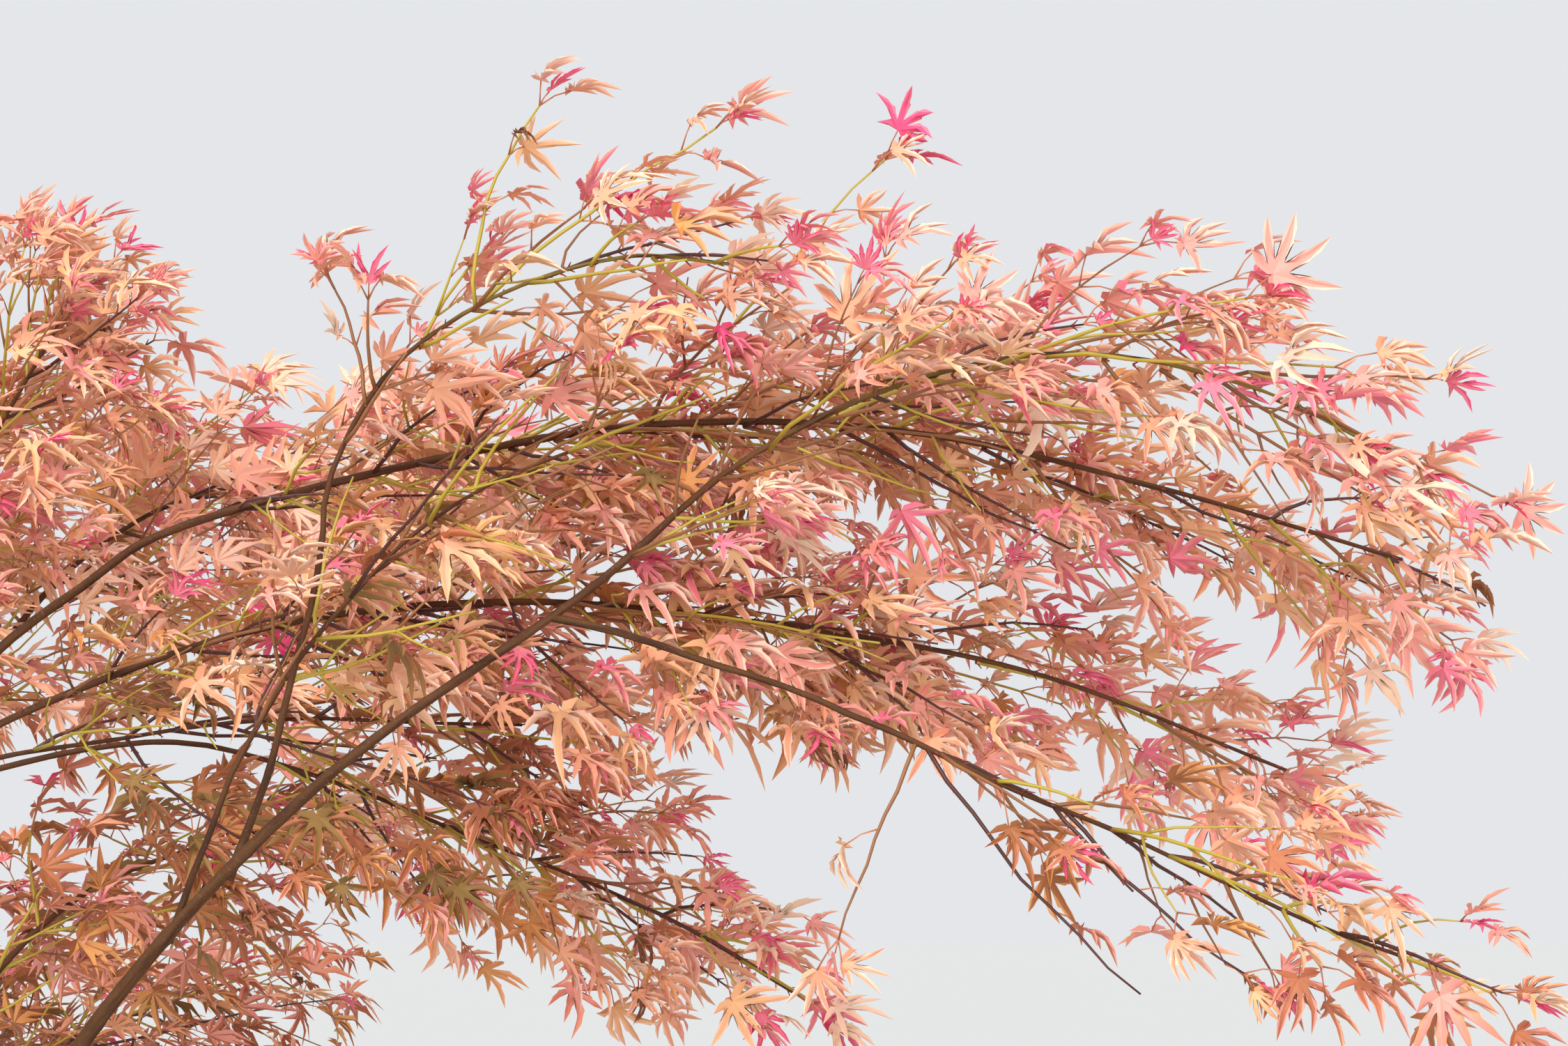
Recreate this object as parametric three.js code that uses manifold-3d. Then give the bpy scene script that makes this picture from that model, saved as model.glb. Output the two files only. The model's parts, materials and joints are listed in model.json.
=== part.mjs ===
// A japanese maple rooted in the ground: a low forked trunk, five rising stems, their side boughs,
// and one foliage mass on the tip of every stem and bough. Millimetres, +Z up, origin at the foot.
import * as THREE from 'three';
import { mergeVertices } from 'three/addons/utils/BufferGeometryUtils.js';
import Module from 'manifold-3d';

const wasm = await Module();
wasm.setup();
const { Manifold, Mesh: SolidMesh } = wasm;

// Clearance between touching solids, and the least clearance of a leaf from anything foreign. A
// leaf also keeps off its own mass's other leaves, and its lobes stay this far inside their space.
const GAP = 0.35;
const LEAF_CLEARANCE = 2.5;
const OWN_CLEARANCE = 1.5;
const SPACE_MARGIN = 5;

// How finely a cut solid is smoothed, and how near two corners are one.
const SMOOTHING = 0.02;
const WELD_DISTANCE = 1e-4;

// The trunk: it leans a little, flares to five root swellings and rounds over at the fork.
const TRUNK = {
  compass: [205, 175],
  climb: [84, 88],
  length: 450,
  steps: 10,
  sides: 15,
  heights: [0, 14, 40, 80, 135, 205, 290, 365, 405, 430, 450],
  radii: [84, 73, 60, 53, 48.5, 45, 42.5, 41.5, 41, 35, 22],
  flareLobes: 5,
  flareDepth: 0.16,
  flareHeight: 130,
  flareTurn: 0.6,
  forkHeight: 420,
};

// How limbs are drawn: rings along the length, sides round it, and the wander of a growing shoot.
const STEM_SIDES = 8;
const BOUGH_SIDES = 5;
const LIMB_STEPS = 7;
const WANDER_DEGREES = 2.6;
const STEM_TAPER = 1.6;
const BOUGH_TAPER = 1.15;

// How a mass is drawn: its stem, the stations of its leaf pairs and their roll about the stem.
const SPINE_STEPS = 5;
const SPINE_SIDES = 4;
const SPINE_TIP_RADIUS = 2.6;
const SPINE_PHASE = 40;
const ELBOW = 8;
const TWIG_RADIUS = 2.4;
const TWIG_ROOT_RADIUS = 1.8;
const SINGLE = { station: 0.5, roll: 85 };
const PAIR_SPACING = 165;
const FIRST_PAIR = 0.18;
const LAST_PAIR = 0.8;
const PAIR_ROLLS = [8, -48, 40, -12];
const TWIG_SPREAD = 50;
const ROLL_PLAY = 24;
const SPREAD_PLAY = 16;
const SIZE_PLAY = 0.2;

// A leaf's twig takes this share of the way to the mass's edge, and its lobes the rest; a leaf that
// finds no room is tried smaller, down to the least reach.
const TWIG_SHARE = 0.56;
const LEAF_SHARE = 0.56;
const LEAF_REACH = [80, 150];
const LEAF_HANG = 0.3;
const LEAF_ROLL = 1.3;
const SHRINK_STEPS = [1, 0.8, 0.64, 0.5];
const LEAST_REACH = 55;
const TESTED_TURNS = [-0.9, 0, 0.9];
const TESTED_FROM = 0.3;

// The leaf that ends a mass's stem.
const END_LEAF = { share: 0.45, reach: [75, 120], hang: 0.15, roll: 0.1, station: 0.98, stalk: 12 };

// The leaves' play is a repeatable stream of numbers.
const LEAF_SEED = 4127;
const STREAM_FACTOR = 1664525;
const STREAM_STEP = 1013904223;
const STREAM_RANGE = 4294967296;

// A leaf stands for a spray: five pointed lobes, deep notches between them and a droop at the tips.
const LOBE_ANGLES = [-104, -52, 0, 52, 104];
const LOBE_LENGTHS = [0.62, 0.9, 1, 0.9, 0.62];
const NOTCH_LENGTH = 0.4;
const FOOT_LENGTH = 0.15;
const LEAF_THICKNESS = 0.05;
const LEAF_DROOP = 0.16;

// A limb leaves its parent at a station (0 foot, 1 tip) and turns evenly from its first compass
// bearing and climb, in degrees, to its last. A mass goes on from the limb's tip in the same way.
function limb(name, parent, station, compass, climb, length, radii, foliage) {
  return { name, parent, station, compass, climb, length, radii, foliage };
}

function mass(climb, turn, length, halfWidth, halfHeight) {
  return { climb, turn, length, halfWidth, halfHeight };
}

const LIMBS = [
  limb('front_limb', 'trunk', 1.0, [-62, 0], [82, 34.5], 1580, [21, 3.2],
    mass([52, -34], -3, 640, 190, 95)),
  limb('leader', 'trunk', 1.0, [120, 40], [84, 78], 1150, [24, 6.5],
    mass([68, 58], -25, 480, 170, 155)),
  limb('back_right_limb', 'trunk', 0.96, [80, 80], [71, 44], 985, [20, 5.5],
    mass([34, -12], 0, 700, 260, 140)),
  limb('back_left_limb', 'trunk', 0.92, [152, 150], [66, 44], 1013, [20, 5.5],
    mass([34, -12], 0, 700, 270, 140)),
  limb('front_left_limb', 'trunk', 0.88, [223, 222], [65, 42], 1037, [20, 5.5],
    mass([33, -12], 0, 710, 270, 140)),
  limb('upright_bough', 'front_limb', 0.79, [5, 0], [70, 83], 300, [3.8, 2.8],
    mass([66, -14], -10, 350, 170, 62)),
  limb('inner_bough', 'front_limb', 0.75, [-20, 10], [69.5, 69], 140, [3.2, 2.8],
    mass([66, 20], 0, 340, 160, 130)),
  limb('low_bough', 'front_limb', 0.98, [-12, -6], [-14, -24], 270, [3.4, 2.8],
    mass([-26, -22], 10, 380, 140, 65)),
  limb('skirt_right', 'front_limb', 0.26, [338, 334], [56, 12], 516, [7, 4.5],
    mass([7, -30], 0, 610, 260, 130)),
  limb('skirt_front', 'front_limb', 0.19, [283, 287], [34, 7], 512, [7, 4.5],
    mass([4, -30], 0, 600, 260, 130)),
  limb('arch_limb', 'leader', 0.8, [-40, -14], [72, 25.5], 630, [6, 3.2],
    mass([18, -23], 10, 960, 210, 105)),
  limb('mid_limb', 'leader', 0.72, [-35, -11], [82.5, 35.5], 478, [5, 3],
    mass([21, -27], 10, 1040, 210, 100)),
  limb('fall_bough', 'leader', 0.95, [0, 3], [48, -9.5], 400, [4.2, 2.8],
    mass([-16, -30], 2, 500, 140, 110)),
  limb('heart_bough', 'leader', 0.84, [-17, -10], [78, 22], 330, [3.6, 2.8],
    mass([10, -4], 10, 420, 200, 150)),
  limb('top_left', 'leader', 0.7, [253, 194], [93, 48], 573, [7, 4.5],
    mass([42, 0], 0, 640, 260, 150)),
  limb('top_front', 'leader', 0.76, [264, 259], [60, 43], 499, [7, 4.5],
    mass([41, 0], 0, 600, 260, 150)),
  limb('back_high', 'back_right_limb', 0.3, [51, 60], [95, 66], 950, [7, 4.5],
    mass([52, 0], 0, 730, 260, 150)),
  limb('back_inner', 'back_right_limb', 0.22, [14, 46], [92, 63], 790, [5, 4],
    mass([52, -8], 0, 520, 160, 140)),
  limb('back_right_skirt', 'back_right_limb', 0.3, [-5, 10], [37, 8], 608, [7, 4.5],
    mass([4, -30], 0, 630, 260, 130)),
  limb('back_skirt', 'back_right_limb', 0.35, [46, 54], [61, 13], 585, [7, 4.5],
    mass([7, -30], 0, 620, 260, 130)),
  limb('left_high', 'back_left_limb', 0.33, [87, 119], [94, 66], 809, [7, 4.5],
    mass([52, 0], 0, 710, 260, 150)),
  limb('back_middle', 'back_left_limb', 0.44, [62, 101], [95, 33], 749, [7, 4.5],
    mass([25, -15], 0, 710, 260, 140)),
  limb('back_left_skirt', 'back_left_limb', 0.33, [76, 92], [32, 7], 569, [7, 4.5],
    mass([4, -30], 0, 620, 260, 130)),
  limb('left_back_skirt', 'back_left_limb', 0.29, [128, 133], [65, 14], 629, [7, 4.5],
    mass([8, -30], 0, 640, 260, 130)),
  limb('left_middle', 'front_left_limb', 0.49, [141, 178], [94, 32], 743, [7, 4.5],
    mass([25, -15], 0, 710, 270, 140)),
  limb('front_middle', 'front_left_limb', 0.51, [328, 273], [95, 35], 668, [7, 4.5],
    mass([27, -15], 0, 690, 260, 140)),
  limb('left_skirt', 'front_left_limb', 0.31, [153, 167], [37, 8], 614, [7, 4.5],
    mass([4, -30], 0, 630, 260, 130)),
  limb('left_front_skirt', 'front_left_limb', 0.36, [199, 205], [60, 13], 596, [7, 4.5],
    mass([7, -30], 0, 630, 270, 130)),
  limb('front_skirt', 'front_left_limb', 0.29, [254, 246], [44, 10], 568, [7, 4.5],
    mass([5, -30], 0, 620, 260, 130)),
];

const BARK = new THREE.MeshStandardMaterial({ name: 'bark', color: 0x6f5f50, roughness: 0.85 });
const FOLIAGE = {
  pink: new THREE.MeshStandardMaterial({ name: 'pink_leaves', color: 0xe89a90, roughness: 0.6 }),
  peach: new THREE.MeshStandardMaterial({ name: 'peach_leaves', color: 0xe8b088, roughness: 0.6 }),
  gold: new THREE.MeshStandardMaterial({ name: 'gold_leaves', color: 0xd9b36e, roughness: 0.6 }),
};

// Each stem's foliage has one tint: pink on the photographed side, warmer towards the left.
const STEM_TINTS = {
  front_limb: 'pink',
  leader: 'pink',
  back_right_limb: 'peach',
  back_left_limb: 'peach',
  front_left_limb: 'gold',
};

// A repeatable stream of numbers from 0 to 1.
function randomStream(seed) {
  let state = seed >>> 0;
  return () => {
    state = (Math.imul(state, STREAM_FACTOR) + STREAM_STEP) >>> 0;
    return state / STREAM_RANGE;
  };
}

function radians(degrees) {
  return THREE.MathUtils.degToRad(degrees);
}

function heading(compass, climb) {
  const flat = Math.cos(radians(climb));
  return new THREE.Vector3(
    Math.cos(radians(compass)) * flat,
    Math.sin(radians(compass)) * flat,
    Math.sin(radians(climb)),
  );
}

function mix(pair, share) {
  return pair[0] + (pair[1] - pair[0]) * share;
}

function within(value, [least, most]) {
  return Math.min(Math.max(value, least), most);
}

// A growing path: each step heads between the first and last bearing, with a small wander.
function growPath(start, compass, climb, length, steps, wander, phase) {
  const points = [start.clone()];
  for (let step = 0; step < steps; step += 1) {
    const share = (step + 0.5) / steps;
    const sway = wander * Math.sin(2.4 * step + phase);
    const nod = wander * Math.sin(1.9 * step + 2 * phase);
    const direction = heading(mix(compass, share) + sway, mix(climb, share) + nod);
    points.push(points[step].clone().addScaledVector(direction, length / steps));
  }
  return points;
}

// The point at a share of a path whose steps are equal.
function pointAlong(points, share) {
  const place = within(share, [0, 1]) * (points.length - 1);
  const index = Math.min(Math.floor(place), points.length - 2);
  return points[index].clone().lerp(points[index + 1], place - index);
}

function directionAlong(points, share) {
  const place = within(share, [0, 1]) * (points.length - 1);
  const index = Math.min(Math.floor(place), points.length - 2);
  return points[index + 1].clone().sub(points[index]).normalize();
}

// A solid from rings of points that all have the same count, closed by a fan at both ends.
function solidFromRings(rings) {
  const sides = rings[0].length;
  const vertices = [];
  const triangles = [];
  for (const ring of rings) {
    for (const point of ring) {
      vertices.push(point.x, point.y, point.z);
    }
  }
  for (let ring = 0; ring + 1 < rings.length; ring += 1) {
    for (let side = 0; side < sides; side += 1) {
      const next = (side + 1) % sides;
      const low = ring * sides;
      const high = low + sides;
      triangles.push(low + side, low + next, high + next);
      triangles.push(low + side, high + next, high + side);
    }
  }
  const last = (rings.length - 1) * sides;
  for (let side = 1; side + 1 < sides; side += 1) {
    triangles.push(0, side + 1, side);
    triangles.push(last, last + side, last + side + 1);
  }
  return solidFromTriangles(vertices, triangles);
}

function solidFromTriangles(vertices, triangles) {
  const mesh = new SolidMesh({
    numProp: 3,
    vertProperties: new Float32Array(vertices),
    triVerts: new Uint32Array(triangles),
  });
  mesh.merge();
  return new Manifold(mesh);
}

// A direction that is well off the path's own: level for a steep path, up for any other.
function firstAcross(along) {
  return Math.abs(along.z) > 0.9 ? new THREE.Vector3(1, 0, 0) : new THREE.Vector3(0, 0, 1);
}

// A round-sided body along a path: the ring frame is carried along so that it never twists.
function tube(points, radii, sides) {
  const rings = [];
  let across = null;
  for (let index = 0; index < points.length; index += 1) {
    const before = points[Math.max(index - 1, 0)];
    const after = points[Math.min(index + 1, points.length - 1)];
    const along = after.clone().sub(before).normalize();
    across = across ?? firstAcross(along);
    across = across.clone().addScaledVector(along, -across.dot(along)).normalize();
    const other = along.clone().cross(across);
    const ring = [];
    for (let side = 0; side < sides; side += 1) {
      const turn = (2 * Math.PI * side) / sides;
      const point = points[index].clone();
      point.addScaledVector(across, radii[index] * Math.cos(turn));
      point.addScaledVector(other, radii[index] * Math.sin(turn));
      ring.push(point);
    }
    rings.push(ring);
  }
  return solidFromRings(rings);
}

// The largest body of a cut: slivers on the far side of the parent are dropped.
function largestBody(solid) {
  const bodies = solid.decompose();
  bodies.sort((a, b) => b.volume() - a.volume());
  return bodies[0];
}

function trunkAxis() {
  return growPath(new THREE.Vector3(), TRUNK.compass, TRUNK.climb, TRUNK.length, TRUNK.steps, 0, 0);
}

// The trunk's rings stay level, so the foot is a flat cut at ground level.
function trunkSolid(extra) {
  const axis = trunkAxis();
  const rings = TRUNK.heights.map((height, index) => {
    const centre = pointAlong(axis, height / TRUNK.length);
    const level = index === 0 ? 0 : centre.z;
    const top = index === TRUNK.heights.length - 1 ? extra : 0;
    const depth = TRUNK.flareDepth * Math.max(0, 1 - height / TRUNK.flareHeight);
    const ring = [];
    for (let side = 0; side < TRUNK.sides; side += 1) {
      const turn = (2 * Math.PI * side) / TRUNK.sides;
      const swell = 1 + depth * Math.cos(TRUNK.flareLobes * turn + TRUNK.flareTurn);
      const radius = TRUNK.radii[index] * swell + extra;
      ring.push(new THREE.Vector3(
        centre.x + radius * Math.cos(turn),
        centre.y + radius * Math.sin(turn),
        level + top,
      ));
    }
    return ring;
  });
  return solidFromRings(rings);
}

// Every limb's path, worked out from its parent's.
function limbPaths() {
  const paths = new Map([['trunk', trunkAxis()]]);
  LIMBS.forEach((row, index) => {
    const start = pointAlong(paths.get(row.parent), row.station * stationScale(row.parent));
    const path = growPath(start, row.compass, row.climb, row.length, LIMB_STEPS, WANDER_DEGREES, index);
    paths.set(row.name, path);
  });
  return paths;
}

// Stations on the trunk run from the foot to the fork, which is a little below the rounded top.
function stationScale(parent) {
  return parent === 'trunk' ? TRUNK.forkHeight / TRUNK.length : 1;
}

function limbSides(row) {
  return row.parent === 'trunk' ? STEM_SIDES : BOUGH_SIDES;
}

function limbTube(row, path, extra) {
  const power = row.parent === 'trunk' ? STEM_TAPER : BOUGH_TAPER;
  const radii = path.map((_, index) => {
    const left = (1 - index / LIMB_STEPS) ** power;
    return row.radii[1] + (row.radii[0] - row.radii[1]) * left + extra;
  });
  return tube(path, radii, limbSides(row));
}

// Each limb is saddle-cut where it meets its parent and the limbs before it.
function limbSolids(paths) {
  const solids = new Map([['trunk', trunkSolid(0)]]);
  const cutters = new Map([['trunk', trunkSolid(GAP)]]);
  for (const row of LIMBS) {
    let solid = limbTube(row, paths.get(row.name), 0);
    for (const cutter of cutters.values()) {
      if (solid.minGap(cutter, GAP) < GAP) {
        solid = largestBody(solid.subtract(cutter));
      }
    }
    solids.set(row.name, solid.simplify(SMOOTHING));
    cutters.set(row.name, limbTube(row, paths.get(row.name), GAP));
  }
  return solids;
}

// A mass's stem sets out square from the limb's tip, then follows its own bearings.
function spinePath(row, limbPath, phase) {
  const away = directionAlong(limbPath, 1);
  const start = limbPath[limbPath.length - 1].clone().addScaledVector(away, GAP);
  const elbow = start.clone().addScaledVector(away, ELBOW);
  const compass = [row.compass[1], row.compass[1] + row.foliage.turn];
  const path = growPath(
    elbow, compass, row.foliage.climb, row.foliage.length, SPINE_STEPS, WANDER_DEGREES, phase,
  );
  return [start, ...path];
}

function spineSolid(row, path) {
  const radii = path.map((_, index) => mix([row.radii[1], SPINE_TIP_RADIUS], index / (path.length - 1)));
  return tube(path, radii, SPINE_SIDES);
}

// A five-lobed leaf with its twig as one closed body: the outline's two faces rise to a low ridge
// at the heart, and the outline's foot runs on into the twig's three sides.
function leafOnTwig(place, reach, rootShare) {
  const { root, heart, axis, normal } = place;
  const side = normal.clone().cross(axis).normalize();
  const point = (angle, length) => heart.clone()
    .addScaledVector(axis, Math.cos(radians(angle)) * length * reach)
    .addScaledVector(side, Math.sin(radians(angle)) * length * reach)
    .addScaledVector(normal, -LEAF_DROOP * length * length * reach);
  const outline = [];
  LOBE_ANGLES.forEach((angle, lobe) => {
    outline.push(point(angle, LOBE_LENGTHS[lobe]));
    if (lobe + 1 < LOBE_ANGLES.length) {
      outline.push(point((angle + LOBE_ANGLES[lobe + 1]) / 2, NOTCH_LENGTH));
    }
  });
  const half = (LEAF_THICKNESS * reach) / 2;
  const direction = heart.clone().sub(root).normalize();
  const foot = heart.clone().addScaledVector(direction, -FOOT_LENGTH * reach);
  const start = root.clone().lerp(foot, rootShare);
  const points = [
    ...outline,
    heart.clone().addScaledVector(normal, half),
    heart.clone().addScaledVector(normal, -half),
    ...twigRing(foot, direction, normal, TWIG_RADIUS),
    ...twigRing(start, direction, normal, TWIG_ROOT_RADIUS),
  ];
  return solidFromTriangles(points.flatMap((p) => [p.x, p.y, p.z]), LEAF_TRIANGLES);
}

// The twig's three corners, seen from its tip: top, then the sides towards the first and last lobe.
function twigRing(centre, direction, normal, radius) {
  const side = normal.clone().cross(direction).normalize();
  const top = direction.clone().cross(side).normalize();
  const corner = (across, up) => centre.clone()
    .addScaledVector(side, across * radius)
    .addScaledVector(top, up * radius);
  return [corner(0, 1), corner(-0.87, -0.5), corner(0.87, -0.5)];
}

// Corner order of a leaf on its twig: outline 0 to 8, ridge top and bottom, foot ring, root ring.
function leafTriangles() {
  const last = 2 * LOBE_ANGLES.length - 2;
  const [above, below] = [last + 1, last + 2];
  const [top, left, right] = [last + 3, last + 4, last + 5];
  const [rootTop, rootLeft, rootRight] = [last + 6, last + 7, last + 8];
  const triangles = [];
  for (let index = 0; index < last; index += 1) {
    triangles.push(above, index, index + 1, below, index + 1, index);
  }
  triangles.push(above, last, right, above, right, top, above, top, left, above, left, 0);
  triangles.push(below, right, last, below, left, right, below, 0, left);
  triangles.push(top, right, rootRight, top, rootRight, rootTop);
  triangles.push(left, top, rootTop, left, rootTop, rootLeft);
  triangles.push(right, left, rootLeft, right, rootLeft, rootRight);
  triangles.push(rootTop, rootRight, rootLeft);
  return triangles;
}

const LEAF_TRIANGLES = leafTriangles();

// The nearest distance from a point to a path.
function distanceToPath(point, path) {
  const line = new THREE.Line3();
  const nearest = new THREE.Vector3();
  let least = Infinity;
  for (let index = 0; index + 1 < path.length; index += 1) {
    line.set(path[index], path[index + 1]);
    line.closestPointToPoint(point, true, nearest);
    least = Math.min(least, nearest.distanceTo(point));
  }
  return least;
}

// A point belongs to a mass when that mass's stem is nearer than any other's.
function ownsPoint(point, name, spines) {
  const own = distanceToPath(point, spines.get(name));
  for (const [other, path] of spines) {
    if (other !== name && distanceToPath(point, path) < own + SPACE_MARGIN) {
      return false;
    }
  }
  return true;
}

// How far the mass reaches at a share of its stem: slim at the root, full in the middle.
function fullness(share) {
  return Math.sin(Math.PI * (0.16 + 0.7 * share)) ** 0.7;
}

// The direction square to a stem at an angle about it, 0 level and a quarter turn up.
function squareTo(along, angle) {
  const compass = Math.atan2(along.y, along.x);
  const level = new THREE.Vector3(-Math.sin(compass), Math.cos(compass), 0);
  const above = along.clone().cross(level).normalize();
  return level.multiplyScalar(Math.cos(angle)).addScaledVector(above, Math.sin(angle));
}

// One twig with its leaf, set at a share of the stem and rolled about it.
function spray(row, spine, share, roll, random) {
  const root = pointAlong(spine, share);
  const along = directionAlong(spine, share);
  const angle = radians(roll + ROLL_PLAY * (random() - 0.5));
  const out = squareTo(along, angle);
  const spread = radians(TWIG_SPREAD + SPREAD_PLAY * (random() - 0.5));
  const direction = along.clone().multiplyScalar(Math.cos(spread)).addScaledVector(out, Math.sin(spread));
  const { halfWidth, halfHeight } = row.foliage;
  const edge = 1 / Math.hypot(Math.cos(angle) / halfWidth, Math.sin(angle) / halfHeight);
  const size = fullness(share) * (1 + SIZE_PLAY * (random() - 0.5));
  const length = (TWIG_SHARE * edge * size) / Math.sin(spread);
  const heart = root.clone().addScaledVector(direction, length);
  const axis = hanging(direction, LEAF_HANG);
  const reach = within(LEAF_SHARE * halfWidth * size, LEAF_REACH);
  return { root, heart, axis, normal: facing(axis, LEAF_ROLL * (random() - 0.5)), reach };
}

// A direction bent down by its own weight.
function hanging(direction, hang) {
  return direction.clone().addScaledVector(new THREE.Vector3(0, 0, 1), -hang).normalize();
}

// The leaf faces up, rolled a little about its middle lobe.
function facing(axis, roll) {
  const up = new THREE.Vector3(0, 0, 1);
  const normal = up.addScaledVector(axis, -up.dot(axis)).normalize();
  return normal.applyAxisAngle(axis, roll);
}

// A spray is kept when its lobes are in the mass's own space, nothing foreign is near, and it
// stands clear of the sprays already on the mass.
function sprayFits(place, name, spines, foreign, body) {
  const { reach } = place;
  const tips = TESTED_TURNS.map((turn) => place.heart.clone().addScaledVector(
    place.axis.clone().applyAxisAngle(place.normal, turn), reach,
  ));
  if (![place.heart, ...tips].every((tip) => ownsPoint(tip, name, spines))) {
    return false;
  }
  const whole = leafOnTwig(place, reach, 0);
  const outer = leafOnTwig(place, reach, TESTED_FROM);
  return outer.minGap(body, OWN_CLEARANCE) >= OWN_CLEARANCE
    && foreign.every((solid) => whole.minGap(solid, LEAF_CLEARANCE) >= LEAF_CLEARANCE);
}

function boxesNear(a, b, distance) {
  const [boxA, boxB] = [a.boundingBox(), b.boundingBox()];
  return [0, 1, 2].every(
    (axis) => boxA.min[axis] - distance < boxB.max[axis] && boxB.min[axis] - distance < boxA.max[axis],
  );
}

// The last leaf goes straight on from the stem's end.
function endLeaf(row, spine) {
  const direction = directionAlong(spine, 1);
  const axis = hanging(direction, END_LEAF.hang);
  const reach = within(END_LEAF.share * row.foliage.halfWidth, END_LEAF.reach);
  const root = pointAlong(spine, END_LEAF.station);
  const heart = spine[spine.length - 1].clone()
    .addScaledVector(direction, FOOT_LENGTH * reach + END_LEAF.stalk);
  return leafOnTwig({ root, heart, axis, normal: facing(axis, END_LEAF.roll) }, reach, 0);
}

// Pairs of sprays up the stem, turned about it from pair to pair, with a single one on top.
function sprayPlaces(row) {
  const pairs = Math.max(2, Math.round(row.foliage.length / PAIR_SPACING));
  const places = [[SINGLE.station, SINGLE.roll]];
  for (let index = 0; index < pairs; index += 1) {
    const share = FIRST_PAIR + ((LAST_PAIR - FIRST_PAIR) * index) / (pairs - 1);
    const roll = PAIR_ROLLS[index % PAIR_ROLLS.length];
    places.push([share, roll], [share, roll + 180]);
  }
  return places;
}

function massSolid(row, spines, spineBodies, foreign, random) {
  const spine = spines.get(row.name);
  let body = spineBodies.get(row.name).add(endLeaf(row, spine));
  for (const [share, roll] of sprayPlaces(row)) {
    const full = spray(row, spine, share, roll, random);
    const current = body;
    const place = SHRINK_STEPS.map((scale) => shrunk(full, scale))
      .find((option) => sprayFits(option, row.name, spines, foreign, current));
    if (place) {
      body = body.add(leafOnTwig(place, place.reach, 0));
    }
  }
  return largestBody(body.simplify(SMOOTHING));
}

// The same spray with a shorter twig and a smaller leaf, for a tight space.
function shrunk(place, scale) {
  const heart = place.root.clone().lerp(place.heart, scale);
  return { ...place, heart, reach: Math.max(place.reach * scale, LEAST_REACH) };
}

function massSolids(paths, solids) {
  const random = randomStream(LEAF_SEED);
  const spines = new Map();
  const spineBodies = new Map();
  LIMBS.forEach((row, index) => {
    const path = spinePath(row, paths.get(row.name), index + SPINE_PHASE);
    spines.set(row.name, path);
    spineBodies.set(row.name, spineSolid(row, path));
  });
  const masses = new Map();
  for (const row of LIMBS) {
    const around = spineBodies.get(row.name);
    const reach = 2 * row.foliage.halfWidth;
    const foreign = [...solids.values(), ...masses.values()];
    for (const [name, body] of spineBodies) {
      if (name !== row.name && !masses.has(name)) {
        foreign.push(body);
      }
    }
    const near = foreign.filter((solid) => boxesNear(solid, around, reach));
    masses.set(row.name, massSolid(row, spines, spineBodies, near, random));
  }
  return masses;
}

// A mesh from a solid, in the solid's own millimetres.
function meshFromSolid(solid, name, material) {
  const { vertProperties, triVerts } = solid.getMesh();
  const geometry = new THREE.BufferGeometry();
  geometry.setAttribute('position', new THREE.BufferAttribute(new Float32Array(vertProperties), 3));
  geometry.setIndex([...triVerts]);
  const merged = mergeVertices(geometry, WELD_DISTANCE);
  merged.computeVertexNormals();
  const mesh = new THREE.Mesh(merged, material);
  mesh.name = name;
  return mesh;
}

// The stem a limb grows on, however many boughs lie between.
function stemOf(name) {
  const { parent } = LIMBS.find((row) => row.name === name);
  return parent === 'trunk' ? name : stemOf(parent);
}

function buildTree() {
  const tree = new THREE.Group();
  tree.name = 'japanese_maple_tree';
  const paths = limbPaths();
  const solids = limbSolids(paths);
  for (const [name, solid] of solids) {
    tree.add(meshFromSolid(solid, name, BARK));
  }
  for (const [name, solid] of massSolids(paths, solids)) {
    tree.add(meshFromSolid(solid, `${name}_foliage`, FOLIAGE[STEM_TINTS[stemOf(name)]]));
  }
  return tree;
}

export default buildTree();
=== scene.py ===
"""A japanese maple in pink and peach leaf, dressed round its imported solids.

The limbs are grown again by the rule of the solids and get a bark mesh each. Every foliage mass is
grown on from its limb's tip as leafy shoots: stem, shoots, side shoots, stalks and lobed leaves.
Lengths in the tables are millimetres, as on the solids, and everything built is in metres.
"""
import json
import logging
import math
from collections.abc import Iterable, Sequence
from dataclasses import dataclass, field
from enum import Enum
from math import radians

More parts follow.
